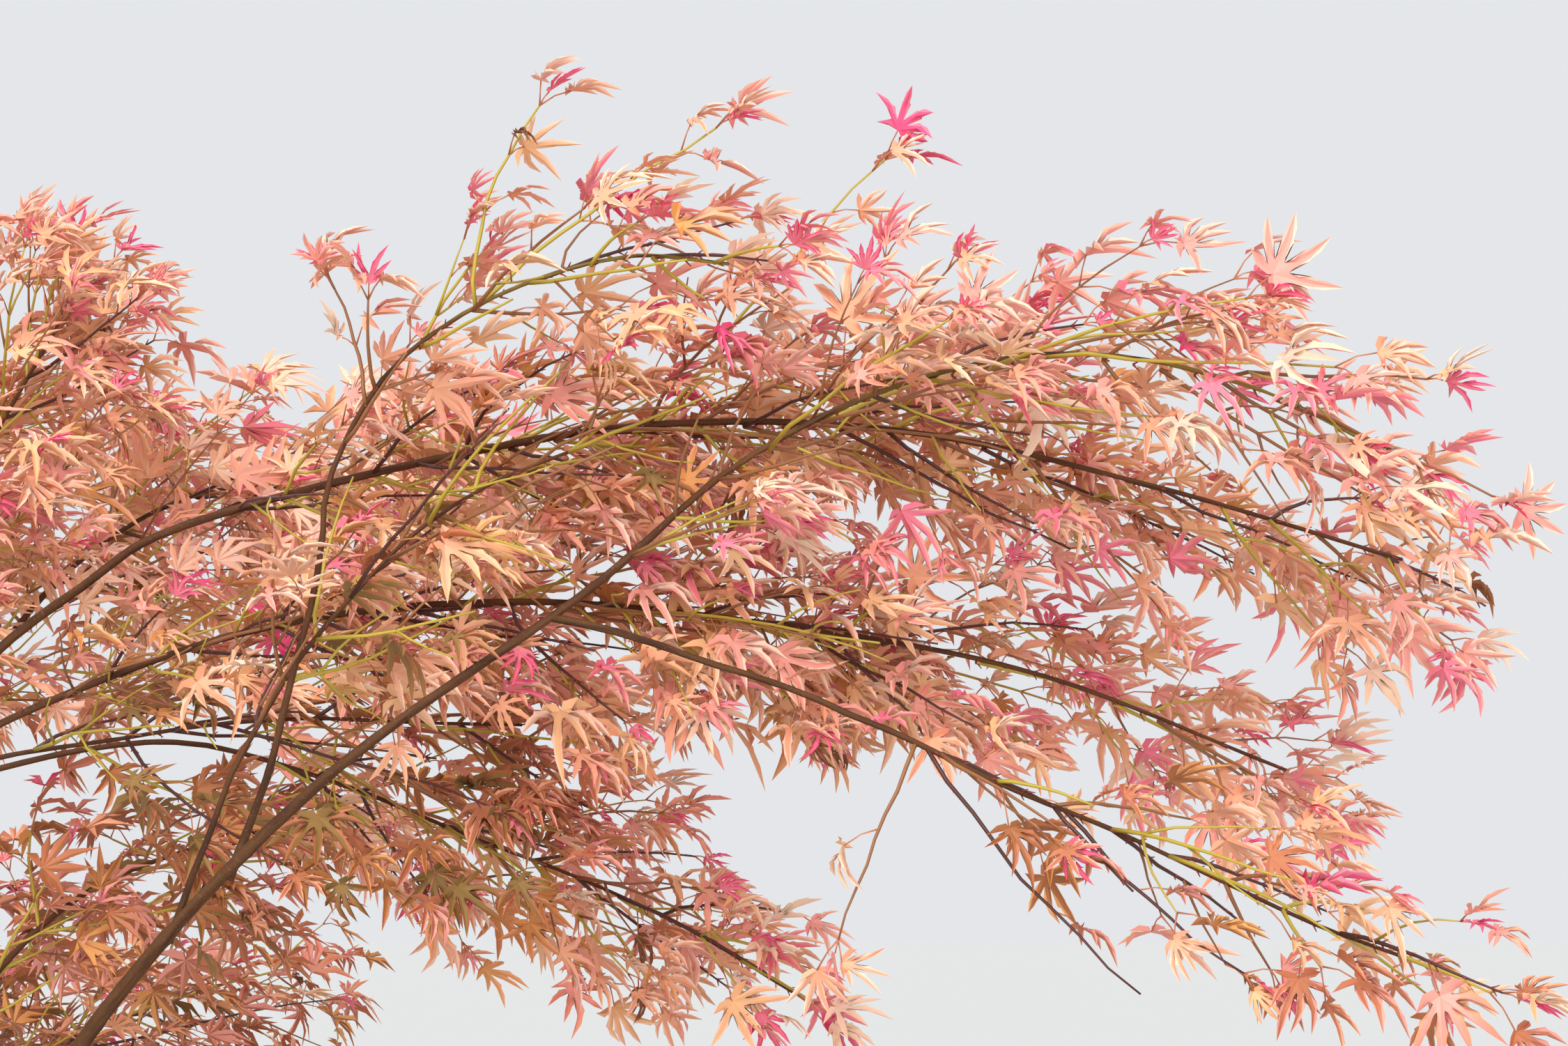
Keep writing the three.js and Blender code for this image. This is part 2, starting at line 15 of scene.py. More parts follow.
import bpy
import numpy as np
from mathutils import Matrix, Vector

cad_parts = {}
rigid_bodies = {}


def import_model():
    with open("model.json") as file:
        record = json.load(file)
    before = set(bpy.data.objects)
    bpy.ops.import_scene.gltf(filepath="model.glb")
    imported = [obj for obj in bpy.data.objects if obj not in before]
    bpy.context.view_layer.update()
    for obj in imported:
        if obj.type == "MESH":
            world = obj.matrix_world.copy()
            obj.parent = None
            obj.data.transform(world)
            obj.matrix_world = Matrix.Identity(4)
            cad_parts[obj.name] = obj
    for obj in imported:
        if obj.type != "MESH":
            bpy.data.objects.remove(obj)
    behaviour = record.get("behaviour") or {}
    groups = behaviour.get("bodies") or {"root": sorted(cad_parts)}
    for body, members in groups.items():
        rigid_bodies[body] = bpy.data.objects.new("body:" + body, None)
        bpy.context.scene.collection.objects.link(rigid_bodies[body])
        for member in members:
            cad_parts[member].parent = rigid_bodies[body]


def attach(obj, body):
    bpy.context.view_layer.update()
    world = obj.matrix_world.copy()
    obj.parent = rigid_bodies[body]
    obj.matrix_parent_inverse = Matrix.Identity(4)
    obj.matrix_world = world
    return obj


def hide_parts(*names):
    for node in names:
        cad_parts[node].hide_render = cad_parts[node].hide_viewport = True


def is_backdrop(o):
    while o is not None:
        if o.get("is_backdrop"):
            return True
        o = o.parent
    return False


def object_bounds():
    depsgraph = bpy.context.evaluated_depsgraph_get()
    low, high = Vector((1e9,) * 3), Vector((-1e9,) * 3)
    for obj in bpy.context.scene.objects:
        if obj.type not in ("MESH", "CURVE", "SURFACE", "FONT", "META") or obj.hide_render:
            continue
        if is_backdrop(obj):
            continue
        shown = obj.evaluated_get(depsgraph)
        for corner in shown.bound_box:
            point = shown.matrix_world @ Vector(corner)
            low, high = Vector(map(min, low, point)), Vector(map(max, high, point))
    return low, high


LOG = logging.getLogger("maple")
MM = 0.001
TINY = 1e-9
NUDGE = 1e-6
UP = np.array([0.0, 0.0, 1.0])
EAST = np.array([1.0, 0.0, 0.0])
LEVEL = np.array([1.0, 1.0, 0.0])
QUARTER_TURN = 90
HALF_TURN = 180
BOTH_SIDES = (0, HALF_TURN)

# The camera that took the photograph: places in metres, lens and sensor in millimetres.
CAMERA_PLACE = (0.822, -3.306, 1.50)
CAMERA_TARGET = (0.822, -0.306, 1.77)
CAMERA_LENS = 96.4
CAMERA_SENSOR = 36.0

# The sRGB standard's straight part, and the power curve above it.
SRGB_KNEE = 0.04045
SRGB_SLOPE = 12.92
SRGB_OFFSET = 0.055
SRGB_POWER = 2.4

# The trunk and the growth of limbs, as on the solids.
TRUNK_COMPASS = (205, 175)
TRUNK_CLIMB = (84, 88)
TRUNK_LENGTH = 450
TRUNK_STEPS = 10
FORK_HEIGHT = 420
TRUNK_HEIGHTS = (0, 14, 40, 80, 135, 205, 290, 365, 405, 430, 450)
TRUNK_RADII = (84, 73, 60, 53, 48.5, 45, 42.5, 41.5, 41, 35, 22)
FLARE_LOBES = 5
FLARE_DEPTH = 0.16
FLARE_HEIGHT = 130
FLARE_TURN = 0.6
LIMB_STEPS = 7
SPINE_STEPS = 5
WANDER = 2.6
SWAY_RATE = 2.4
NOD_RATE = 1.9
STEM_PHASE = 40
STEM_TAPER = 1.6
BOUGH_TAPER = 1.15
ELBOW = 8
TIP_GAP = 0.35

# The finer growth inside a mass.
SEED = 4127
PAIR_ROLLS = (8, -48, 40, -12)
SPREAD = 50
FIRST_NODE = 0.05
LAST_NODE = 0.97
# A mass's outline follows part of a half wave: where on it a stem starts, how much of it the
# stem takes, and a power that blunts it.
FULLNESS_START = 0.16
FULLNESS_SPAN = 0.7
FULLNESS_POWER = 0.7

# The masses that face the photograph's camera: denser there, with toothed leaves.
PHOTOGRAPHED = (
    "front_limb", "leader", "upright_bough", "inner_bough", "low_bough",
    "arch_limb", "mid_limb", "fall_bough", "heart_bough",
)
# The masses whose shoots are bare towards the stem, with their leaves in sprays at the ends.
OPEN_MASSES = ("front_limb", "low_bough", "upright_bough")
# The two longest, which arch over and thin out to separate sprays.
LONG_MASSES = ("arch_limb", "mid_limb")
# The odds that a shoot is missing in the last third of a mass, where they aren't the usual ones.
OPEN_ODDS = {"arch_limb": 0.58, "mid_limb": 0.74, "low_bough": 0.5}
# The share of its leaves that a mass has already lost.
FALLEN = {
    "front_limb": 0.12,
    "low_bough": 0.42,
    "arch_limb": 0.16,
    "mid_limb": 0.1,
    "fall_bough": 0.15,
    "heart_bough": 0.15,
    "back_inner": 0.12,
    "back_right_limb": 0.12,
}
# How far leaves keep off the line of sight to a mass's stem, in metres, where it isn't the usual
# way: the arching stem shows in full, and the front one only in pieces.
STEM_WINDOWS = {"arch_limb": 0.03, "front_limb": 0.003}
# The masses that are joined with the lower ones of their stem, besides the skirts.
HANGING_MASSES = ("low_bough", "fall_bough", "mid_limb")
# The limbs whose last growth is a green shoot.
GREEN_TIPPED = ("front_limb", "upright_bough")
# The record's material slot of the foliage that grows on each stem.
FOLIAGE_SLOTS = {
    "front_limb": "pink_leaves",
    "leader": "pink_leaves",
    "back_right_limb": "peach_leaves",
    "back_left_limb": "peach_leaves",
    "front_left_limb": "gold_leaves",
}


@dataclass(frozen=True)
class Mass:
    """A foliage mass: how its stem goes on from the limb's tip, and how far it spreads.

    Lengths are millimetres, and climb and turn are degrees.
    """

    climb: tuple[float, float]
    turn: float
    length: float
    half_width: float
    half_height: float


@dataclass(frozen=True)
class Limb:
    """A limb that leaves its parent at a station, 0 at the foot and 1 at the tip.

    It turns evenly from its first compass bearing and climb, in degrees, to its last.
    """

    name: str
    parent: str
    station: float
    compass: tuple[float, float]
    climb: tuple[float, float]
    length: float
    radii: tuple[float, float]
    foliage: Mass

    @property
    def is_stem(self) -> bool:
        """True for a limb that rises from the trunk."""
        return self.parent == "trunk"


LIMBS = (
    Limb("front_limb", "trunk", 1.0, (-62, 0), (82, 34.5), 1580, (21, 3.2),
         Mass((52, -34), -3, 640, 190, 95)),
    Limb("leader", "trunk", 1.0, (120, 40), (84, 78), 1150, (24, 6.5),
         Mass((68, 58), -25, 480, 170, 155)),
    Limb("back_right_limb", "trunk", 0.96, (80, 80), (71, 44), 985, (20, 5.5),
         Mass((34, -12), 0, 700, 260, 140)),
    Limb("back_left_limb", "trunk", 0.92, (152, 150), (66, 44), 1013, (20, 5.5),
         Mass((34, -12), 0, 700, 270, 140)),
    Limb("front_left_limb", "trunk", 0.88, (223, 222), (65, 42), 1037, (20, 5.5),
         Mass((33, -12), 0, 710, 270, 140)),
    Limb("upright_bough", "front_limb", 0.79, (5, 0), (70, 83), 300, (3.8, 2.8),
         Mass((66, -14), -10, 350, 170, 62)),
    Limb("inner_bough", "front_limb", 0.75, (-20, 10), (69.5, 69), 140, (3.2, 2.8),
         Mass((66, 20), 0, 340, 160, 130)),
    Limb("low_bough", "front_limb", 0.98, (-12, -6), (-14, -24), 270, (3.4, 2.8),
         Mass((-26, -22), 10, 380, 140, 65)),
    Limb("skirt_right", "front_limb", 0.26, (338, 334), (56, 12), 516, (7, 4.5),
         Mass((7, -30), 0, 610, 260, 130)),
    Limb("skirt_front", "front_limb", 0.19, (283, 287), (34, 7), 512, (7, 4.5),
         Mass((4, -30), 0, 600, 260, 130)),
    Limb("arch_limb", "leader", 0.8, (-40, -14), (72, 25.5), 630, (6, 3.2),
         Mass((18, -23), 10, 960, 210, 105)),
    Limb("mid_limb", "leader", 0.72, (-35, -11), (82.5, 35.5), 478, (5, 3),
         Mass((21, -27), 10, 1040, 210, 100)),
    Limb("fall_bough", "leader", 0.95, (0, 3), (48, -9.5), 400, (4.2, 2.8),
         Mass((-16, -30), 2, 500, 140, 110)),
    Limb("heart_bough", "leader", 0.84, (-17, -10), (78, 22), 330, (3.6, 2.8),
         Mass((10, -4), 10, 420, 200, 150)),
    Limb("top_left", "leader", 0.7, (253, 194), (93, 48), 573, (7, 4.5),
         Mass((42, 0), 0, 640, 260, 150)),
    Limb("top_front", "leader", 0.76, (264, 259), (60, 43), 499, (7, 4.5),
         Mass((41, 0), 0, 600, 260, 150)),
    Limb("back_high", "back_right_limb", 0.3, (51, 60), (95, 66), 950, (7, 4.5),
         Mass((52, 0), 0, 730, 260, 150)),
    Limb("back_inner", "back_right_limb", 0.22, (14, 46), (92, 63), 790, (5, 4),
         Mass((52, -8), 0, 520, 160, 140)),
    Limb("back_right_skirt", "back_right_limb", 0.3, (-5, 10), (37, 8), 608, (7, 4.5),
         Mass((4, -30), 0, 630, 260, 130)),
    Limb("back_skirt", "back_right_limb", 0.35, (46, 54), (61, 13), 585, (7, 4.5),
         Mass((7, -30), 0, 620, 260, 130)),
    Limb("left_high", "back_left_limb", 0.33, (87, 119), (94, 66), 809, (7, 4.5),
         Mass((52, 0), 0, 710, 260, 150)),
    Limb("back_middle", "back_left_limb", 0.44, (62, 101), (95, 33), 749, (7, 4.5),
         Mass((25, -15), 0, 710, 260, 140)),
    Limb("back_left_skirt", "back_left_limb", 0.33, (76, 92), (32, 7), 569, (7, 4.5),
         Mass((4, -30), 0, 620, 260, 130)),
    Limb("left_back_skirt", "back_left_limb", 0.29, (128, 133), (65, 14), 629, (7, 4.5),
         Mass((8, -30), 0, 640, 260, 130)),
    Limb("left_middle", "front_left_limb", 0.49, (141, 178), (94, 32), 743, (7, 4.5),
         Mass((25, -15), 0, 710, 270, 140)),
    Limb("front_middle", "front_left_limb", 0.51, (328, 273), (95, 35), 668, (7, 4.5),
         Mass((27, -15), 0, 690, 260, 140)),
    Limb("left_skirt", "front_left_limb", 0.31, (153, 167), (37, 8), 614, (7, 4.5),
         Mass((4, -30), 0, 630, 260, 130)),
    Limb("left_front_skirt", "front_left_limb", 0.36, (199, 205), (60, 13), 596, (7, 4.5),
         Mass((7, -30), 0, 630, 270, 130)),
    Limb("front_skirt", "front_left_limb", 0.29, (254, 246), (44, 10), 568, (7, 4.5),
         Mass((5, -30), 0, 620, 260, 130)),
)


def stem_of(limb: Limb) -> str:
    """The name of the stem that a limb grows on, however many boughs lie between.

    Args:
        limb: A stem or a bough.

    Returns:
        The stem's name.
    """
    while not limb.is_stem:
        limb = next(row for row in LIMBS if row.name == limb.parent)
    return limb.name


class Age(Enum):
    """What a piece of wood inside the foliage is; the value is its material slot."""

    STALK = 0
    SHOOT = 1
    TAN = 2
    OLD = 3
    BUD = 4


@dataclass(frozen=True)
class LongShoot:
    """A vigorous shoot that stands clear of its mass, as the photograph shows a few.

    It leaves the mass's stem at a station and turns evenly between its bearings and climbs.
    """

    mass: str
    station: float
    compass: tuple[float, float]
    climb: tuple[float, float]
    length: float
    age: Age = Age.SHOOT


LONG_SHOOTS = (
    LongShoot("upright_bough", 0.45, (0, 0), (44, 30), 220),
    LongShoot("upright_bough", 0.45, (0, 0), (95, 50), 160),
    LongShoot("arch_limb", 0.4, (0, 0), (54, 46), 270),
    LongShoot("low_bough", 0.02, (-15, -5), (-58, -40), 230, Age.OLD),
    LongShoot("low_bough", 0.3, (0, -5), (-52, -34), 170, Age.OLD),
    LongShoot("low_bough", 0.0, (200, 190), (-64, -70), 150, Age.TAN),
    LongShoot("upright_bough", 0.14, (178, 180), (86, 62), 100, Age.TAN),
    LongShoot("leader", 0.92, (60, 20), (80, 66), 110),
    LongShoot("leader", 0.75, (20, 10), (50, 34), 140),
)


class Tint(Enum):
    """The plain colours of the leaves; the value is the material slot."""

    CREAM = 0
    BLUSH = 1
    ROSE = 2
    SALMON = 3
    PEACH = 4
    APRICOT = 5
    HONEY = 6
    OLIVE = 7
    RUSSET = 8
    FLUSH = 9
    CARMINE = 10
    DRY = 11
    CLAY = 12


# OLIVE, RUSSET and CLAY are darkened as painted shade for the inner and lower leaves.
TINT_COLOURS = {
    Tint.CREAM: "#F0D5B6",
    Tint.BLUSH: "#F6CCB4",
    Tint.ROSE: "#F1A495",
    Tint.SALMON: "#EFAB87",
    Tint.PEACH: "#EFBA8A",
    Tint.APRICOT: "#DF9C5C",
    Tint.HONEY: "#D4A25C",
    Tint.OLIVE: "#947442",
    Tint.RUSSET: "#A96B42",
    Tint.FLUSH: "#EF8093",
    Tint.CARMINE: "#EA5582",
    Tint.DRY: "#8A5A3C",
    Tint.CLAY: "#C47A57",
}

AGE_COLOURS = {
    Age.STALK: "#C9805A",
    Age.SHOOT: "#B8A23A",
    Age.TAN: "#93603A",
    Age.OLD: "#53302A",
    Age.BUD: "#8E3A34",
}


class Mood(Enum):
    """The colouring of a spray: pairs of tints, the first at a lobe's edges, the second inside."""

    FLUSHED = ((Tint.ROSE, Tint.CARMINE), (Tint.FLUSH, Tint.ROSE), (Tint.FLUSH, Tint.CARMINE))
    BLUSHING = (
        (Tint.BLUSH, Tint.ROSE), (Tint.CREAM, Tint.BLUSH), (Tint.ROSE, Tint.FLUSH),
        (Tint.BLUSH, Tint.SALMON),
    )
    PINK = (
        (Tint.BLUSH, Tint.ROSE), (Tint.BLUSH, Tint.PEACH), (Tint.ROSE, Tint.SALMON),
        (Tint.BLUSH, Tint.SALMON),
    )
    SALMON = (
        (Tint.BLUSH, Tint.SALMON), (Tint.SALMON, Tint.ROSE), (Tint.SALMON, Tint.PEACH),
        (Tint.BLUSH, Tint.PEACH),
    )
    PEACH = ((Tint.BLUSH, Tint.SALMON), (Tint.PEACH, Tint.SALMON), (Tint.SALMON, Tint.APRICOT))
    GOLD = (
        (Tint.BLUSH, Tint.PEACH), (Tint.PEACH, Tint.HONEY), (Tint.PEACH, Tint.APRICOT),
        (Tint.SALMON, Tint.CLAY),
    )
    # Painted shade: clay and russet tints for the leaves in half shade.
    DUSTY = (
        (Tint.SALMON, Tint.CLAY), (Tint.CLAY, Tint.RUSSET), (Tint.ROSE, Tint.CLAY),
        (Tint.APRICOT, Tint.RUSSET),
    )
    # Painted shade: the darkest tints, for the shaded leaves.
    SHADE = ((Tint.RUSSET, Tint.OLIVE), (Tint.CLAY, Tint.RUSSET), (Tint.CLAY, Tint.OLIVE))


# Moods from the inside of the crown to its outside; SHADE, the innermost, is painted shade.
MOOD_ORDER = (Mood.SHADE, Mood.GOLD, Mood.PEACH, Mood.SALMON, Mood.PINK, Mood.BLUSHING)
# The same for the masses that hang in the shade below the photographed boughs.
# Their darker moods are painted shade.
SHADED_ORDER = (Mood.SHADE, Mood.SHADE, Mood.DUSTY, Mood.DUSTY, Mood.DUSTY, Mood.SALMON)
SHADED_MASSES = ("heart_bough", "back_inner", "back_right_limb", "low_bough")
# How much pinker, or how much browner, a mass is than the rest. The browner inner_bough is painted
# shade, and the lighter arch_limb and mid_limb are painted light standing in for light through
# their leaves.
MASS_WARMTH_AND_PAINTED_LIGHT = {
    "front_limb": 0.28,
    "leader": 0.15,
    "upright_bough": 0.2,
    "inner_bough": -0.22,
    "low_bough": 0.1,
    "fall_bough": 0.08,
    "arch_limb": 0.12,
    "mid_limb": 0.08,
}


def unit(vector: np.ndarray) -> np.ndarray:
    """The vector at length one."""
    return vector / max(float(np.linalg.norm(vector)), TINY)


def square_to(vector: np.ndarray, axis: np.ndarray) -> np.ndarray:
    """The part of a vector that is square to an axis of length one."""
    return vector - axis * float(vector @ axis)


def heading(compass: float, climb: float) -> np.ndarray:
    """The direction of a compass bearing and a climb, in degrees.

    Args:
        compass: The bearing.
        climb: The climb.

    Returns:
        A vector of length one.
    """
    flat = math.cos(radians(climb))
    return np.array([
        math.cos(radians(compass)) * flat,
        math.sin(radians(compass)) * flat,
        math.sin(radians(climb)),
    ])


def mix(pair: Sequence[float], share: float) -> float:
    """The value at a share of the way from the first of a pair to the second."""
    return pair[0] + (pair[1] - pair[0]) * share


def grow_path(
    start: np.ndarray, compass: Sequence[float], climb: Sequence[float],
    length: float, steps: int, wander: float, phase: float,
) -> np.ndarray:
    """Grows a path as on the solids: each step heads between the bearings, with a small wander.

    Args:
        start: The first point.
        compass: The first and last compass bearing, in degrees.
        climb: The first and last climb, in degrees.
        length: The length, in the units of start.
        steps: How many equal steps it has.
        wander: The size of the wander, in degrees.
        phase: What makes one path's wander differ from another's.

    Returns:
        The points, one row each.
    """
    points = [np.asarray(start, dtype=float)]
    for step in range(steps):
        share = (step + 0.5) / steps
        sway = wander * math.sin(SWAY_RATE * step + phase)
        nod = wander * math.sin(NOD_RATE * step + 2 * phase)
        direction = heading(mix(compass, share) + sway, mix(climb, share) + nod)
        points.append(points[-1] + direction * length / steps)
    return np.array(points)


def place_on(points: np.ndarray, share: float) -> tuple[np.ndarray, np.ndarray]:
    """The point and the direction at a share of a path whose steps are equal.

    Args:
        points: The path.
        share: 0 at its start and 1 at its end.

    Returns:
        The point, and a direction of length one.
    """
    place = min(max(share, 0.0), 1.0) * (len(points) - 1)
    index = min(int(place), len(points) - 2)
    step = points[index + 1] - points[index]
    return points[index] + step * (place - index), unit(step)


def rounded(points: np.ndarray, cuts: int) -> np.ndarray:
    """A smooth Catmull-Rom curve through a path's points.

    Args:
        points: The path.
        cuts: How many points each step is cut into.

    Returns:
        The points of the curve, the path's ends included.
    """
    ends = np.vstack([2 * points[0] - points[1], points, 2 * points[-1] - points[-2]])
    t = (np.arange(cuts) / cuts)[:, None]
    curve = []
    for a, b, c, d in zip(ends, ends[1:], ends[2:], ends[3:]):
        square = 2 * a - 5 * b + 4 * c - d
        cube = 3 * b - a - 3 * c + d
        curve.append(0.5 * (2 * b + (c - a) * t + square * t**2 + cube * t**3))
    return np.vstack([*curve, points[-1:]])


def fullness(share: float) -> float:
    """How far a mass reaches at a share of its stem: slim at the root, full in the middle."""
    return math.sin(math.pi * (FULLNESS_START + FULLNESS_SPAN * share)) ** FULLNESS_POWER


@dataclass
class Skeleton:
    """The paths of the trunk, the limbs and the stems of the masses, in metres."""

    paths: dict[str, np.ndarray] = field(default_factory=dict)
    spines: dict[str, np.ndarray] = field(default_factory=dict)

    def grow(self) -> None:
        """Works out every path from its parent's."""
        self.paths["trunk"] = grow_path(
            np.zeros(3), TRUNK_COMPASS, TRUNK_CLIMB, TRUNK_LENGTH * MM, TRUNK_STEPS, 0, 0,
        )
        for phase, limb in enumerate(LIMBS):
            scale = FORK_HEIGHT / TRUNK_LENGTH if limb.is_stem else 1
            start, _ = place_on(self.paths[limb.parent], limb.station * scale)
            self.paths[limb.name] = grow_path(
                start, limb.compass, limb.climb, limb.length * MM, LIMB_STEPS, WANDER, phase,
            )
        for phase, limb in enumerate(LIMBS):
            self.spines[limb.name] = self.spine(limb, phase + STEM_PHASE)

    def spine(self, limb: Limb, phase: int) -> np.ndarray:
        """The stem of a limb's mass: straight on from its tip, then on bearings of its own.

        Args:
            limb: The limb that carries the mass.
            phase: What makes its wander its own.

        Returns:
            The points, the first a little clear of the limb's tip.
        """
        tip, away = place_on(self.paths[limb.name], 1)
        start = tip + away * TIP_GAP * MM
        mass = limb.foliage
        compass = (limb.compass[1], limb.compass[1] + mass.turn)
        elbow = start + away * ELBOW * MM
        path = grow_path(elbow, compass, mass.climb, mass.length * MM, SPINE_STEPS, WANDER, phase)
        return np.vstack([start, path])


def distances_along(path: np.ndarray) -> np.ndarray:
    """The distance along a path from its first point to each of its points."""
    return np.concatenate([[0], np.cumsum(np.linalg.norm(np.diff(path, axis=0), axis=1))])


def from_segment(
    points: np.ndarray, start: np.ndarray, end: np.ndarray,
) -> tuple[np.ndarray, np.ndarray]:
    """Each point's distance from a segment, and the share of the segment where it is nearest.

    Args:
        points: One row for each point, flat or in space.
        start: One end of the segment.
        end: Its other end.

    Returns:
        A distance and a share for each point.
    """
    step = end - start
    share = np.clip((points - start) @ step / (step @ step), 0, 1)
    return np.linalg.norm(points - start - share[:, None] * step, axis=1), share


def distances_to_path(points: np.ndarray, path: np.ndarray) -> np.ndarray:
    """The distance from each point to the nearest place on a path.

    Args:
        points: One row for each point.
        path: The path's points.

    Returns:
        One distance for each point.
    """
    least = np.full(len(points), np.inf)
    for start, end in zip(path, path[1:]):
        least = np.minimum(least, from_segment(points, start, end)[0])
    return least


def hidden_by(points: np.ndarray, path: np.ndarray, width: float) -> np.ndarray:
    """Which points stand between the photograph's camera and a path.

    Args:
        points: One row for each point.
        path: The path's points.
        width: How near the line of sight a point counts as in front, in metres at the path.

    Returns:
        True for each point that does.
    """
    seen_points, depths = seen_from_camera(points)
    seen_path, path_depths = seen_from_camera(path)
    found = np.zeros(len(points), dtype=bool)
    for start, end, near, far in zip(seen_path, seen_path[1:], path_depths, path_depths[1:]):
        gap, share = from_segment(seen_points, start, end)
        depth = near + (far - near) * share
        found |= (gap * depth < width) & (depths < depth)
    return found


def seen_from_camera(points: np.ndarray) -> tuple[np.ndarray, np.ndarray]:
    """How far across and up points stand for each metre of depth, and their depths.

    Args:
        points: One row for each point.

    Returns:
        Two columns, across and up, and one depth for each point.
    """
    offset = points - np.array(CAMERA_PLACE)
    depth = offset[:, 1]
    return offset[:, [0, 2]] / depth[:, None], depth


def linear(hex_colour: str) -> tuple[float, float, float, float]:
    """An sRGB hex colour as the linear colour that a shader takes.

    Args:
        hex_colour: A hash sign and six digits.

    Returns:
        Red, green, blue and an alpha of one.
    """
    made = []
    for byte in bytes.fromhex(hex_colour[1:]):
        part = byte / 255
        curved = ((part + SRGB_OFFSET) / (1 + SRGB_OFFSET)) ** SRGB_POWER
        made.append(part / SRGB_SLOPE if part <= SRGB_KNEE else curved)
    red, green, blue = made
    return red, green, blue, 1.0


def add_node(
    tree: bpy.types.NodeTree, kind: str, sockets: dict | None = None, **settings: object,
) -> bpy.types.Node:
    """Adds a node to a tree.

    Args:
        tree: The material's node tree.
        kind: The node's type.
        sockets: Values or linked outputs by the name or number of an input.
        settings: Values of the node's own properties.

    Returns:
        The node.
    """
    node = tree.nodes.new(kind)
    for name, value in settings.items():
        setattr(node, name, value)
    for socket, value in (sockets or {}).items():
        if isinstance(value, bpy.types.NodeSocket):
            tree.links.new(value, node.inputs[socket])
        else:
            node.inputs[socket].default_value = value
    return node


def new_material(name: str) -> bpy.types.Material:
    """A node material without any nodes yet.

    Args:
        name: The material's name.

    Returns:
        The material.
    """
    material = bpy.data.materials.new(name)
    material.use_nodes = True
    material.node_tree.nodes.clear()
    return material


def plain_material(name: str, colour: str, sockets: dict[str, float]) -> bpy.types.Material:
    """A material of one plain colour, with the values of its shader's other sockets.

    Args:
        name: The material's name.
        colour: Its sRGB hex colour.
        sockets: Values by the name of the shader's input.

    Returns:
        The material.
    """
    made = new_material(name)
    shader = add_node(made.node_tree, "ShaderNodeBsdfPrincipled", {
        "Base Color": linear(colour),
        **sockets,
    })
    add_node(made.node_tree, "ShaderNodeOutputMaterial", {"Surface": shader.outputs[0]})
    return made


@dataclass(frozen=True)
class LeafTissue:
    """Thin maple leaf: a matt, slightly waxy blade whose pigment is one plain colour."""

    tint: Tint
    roughness: float = 0.52
    ior: float = 1.42
    wax: float = 0.35

    def material(self) -> bpy.types.Material:
        """Builds the material.

        Returns:
            The material.
        """
        return plain_material(f"leaf_{self.tint.name.lower()}", TINT_COLOURS[self.tint], {
            "Roughness": self.roughness,
            "IOR": self.ior,
            "Specular IOR Level": self.wax,
        })


@dataclass(frozen=True)
class TwigSkin:
    """The smooth skin of thin wood, green, brown or red by its age, with a soft gloss."""

    age: Age
    roughness: float = 0.42
    ior: float = 1.45

    def material(self) -> bpy.types.Material:
        """Builds the material.

        Returns:
            The material.
        """
        return plain_material(f"twig_{self.age.name.lower()}", AGE_COLOURS[self.age], {
            "Roughness": self.roughness,
            "IOR": self.ior,
        })


# The numbers of the mixing node's sockets when it mixes colours.
MIX_SHARE = 0
MIX_FIRST = 6
MIX_SECOND = 7
MIX_RESULT = 2


@dataclass(frozen=True)
class BarkPattern:
    """A noise pattern of one real size that mixes a second colour into a first.

    A stretch under 1 draws it out along the limb. The second colour begins to show at the first
    of the cut's two values and shows in full, up to the most that it may, at the second.
    """

    size_mm: float
    stretch: float
    detail: float
    cut: tuple[float, float]
    most: float = 1.0
    roughness: float = 0.6

    def noise(self, tree: bpy.types.NodeTree, grain: bpy.types.NodeSocket) -> bpy.types.NodeSocket:
        """The raw pattern.

        Args:
            tree: The material's node tree.
            grain: The place round and along the limb.

        Returns:
            The pattern's value.
        """
        placed = add_node(tree, "ShaderNodeMapping", {
            "Vector": grain,
            "Scale": (1, 1, self.stretch),
        })
        noise = add_node(tree, "ShaderNodeTexNoise", {
            "Vector": placed.outputs[0],
            "Scale": 1 / (self.size_mm * MM),
            "Detail": self.detail,
            "Roughness": self.roughness,
        })
        return noise.outputs["Fac"]

    def blend(
        self, tree: bpy.types.NodeTree, noise: bpy.types.NodeSocket, first: object, second: object,
    ) -> bpy.types.NodeSocket:
        """Mixes two colours by the raw pattern.

        Args:
            tree: The material's node tree.
            noise: The raw pattern.
            first: The colour where the pattern is low.
            second: The colour where it is high.

        Returns:
            The mixed colour.
        """
        low, high = self.cut
        cut = add_node(tree, "ShaderNodeMapRange", {
            "Value": noise,
            "From Min": low,
            "From Max": high,
        })
        share = add_node(tree, "ShaderNodeMath", {
            0: cut.outputs[0],
            1: self.most,
        }, operation="MULTIPLY")
        node = add_node(tree, "ShaderNodeMix", {
            MIX_SHARE: share.outputs[0],
            MIX_FIRST: first,
            MIX_SECOND: second,
        }, data_type="RGBA")
        return node.outputs[MIX_RESULT]


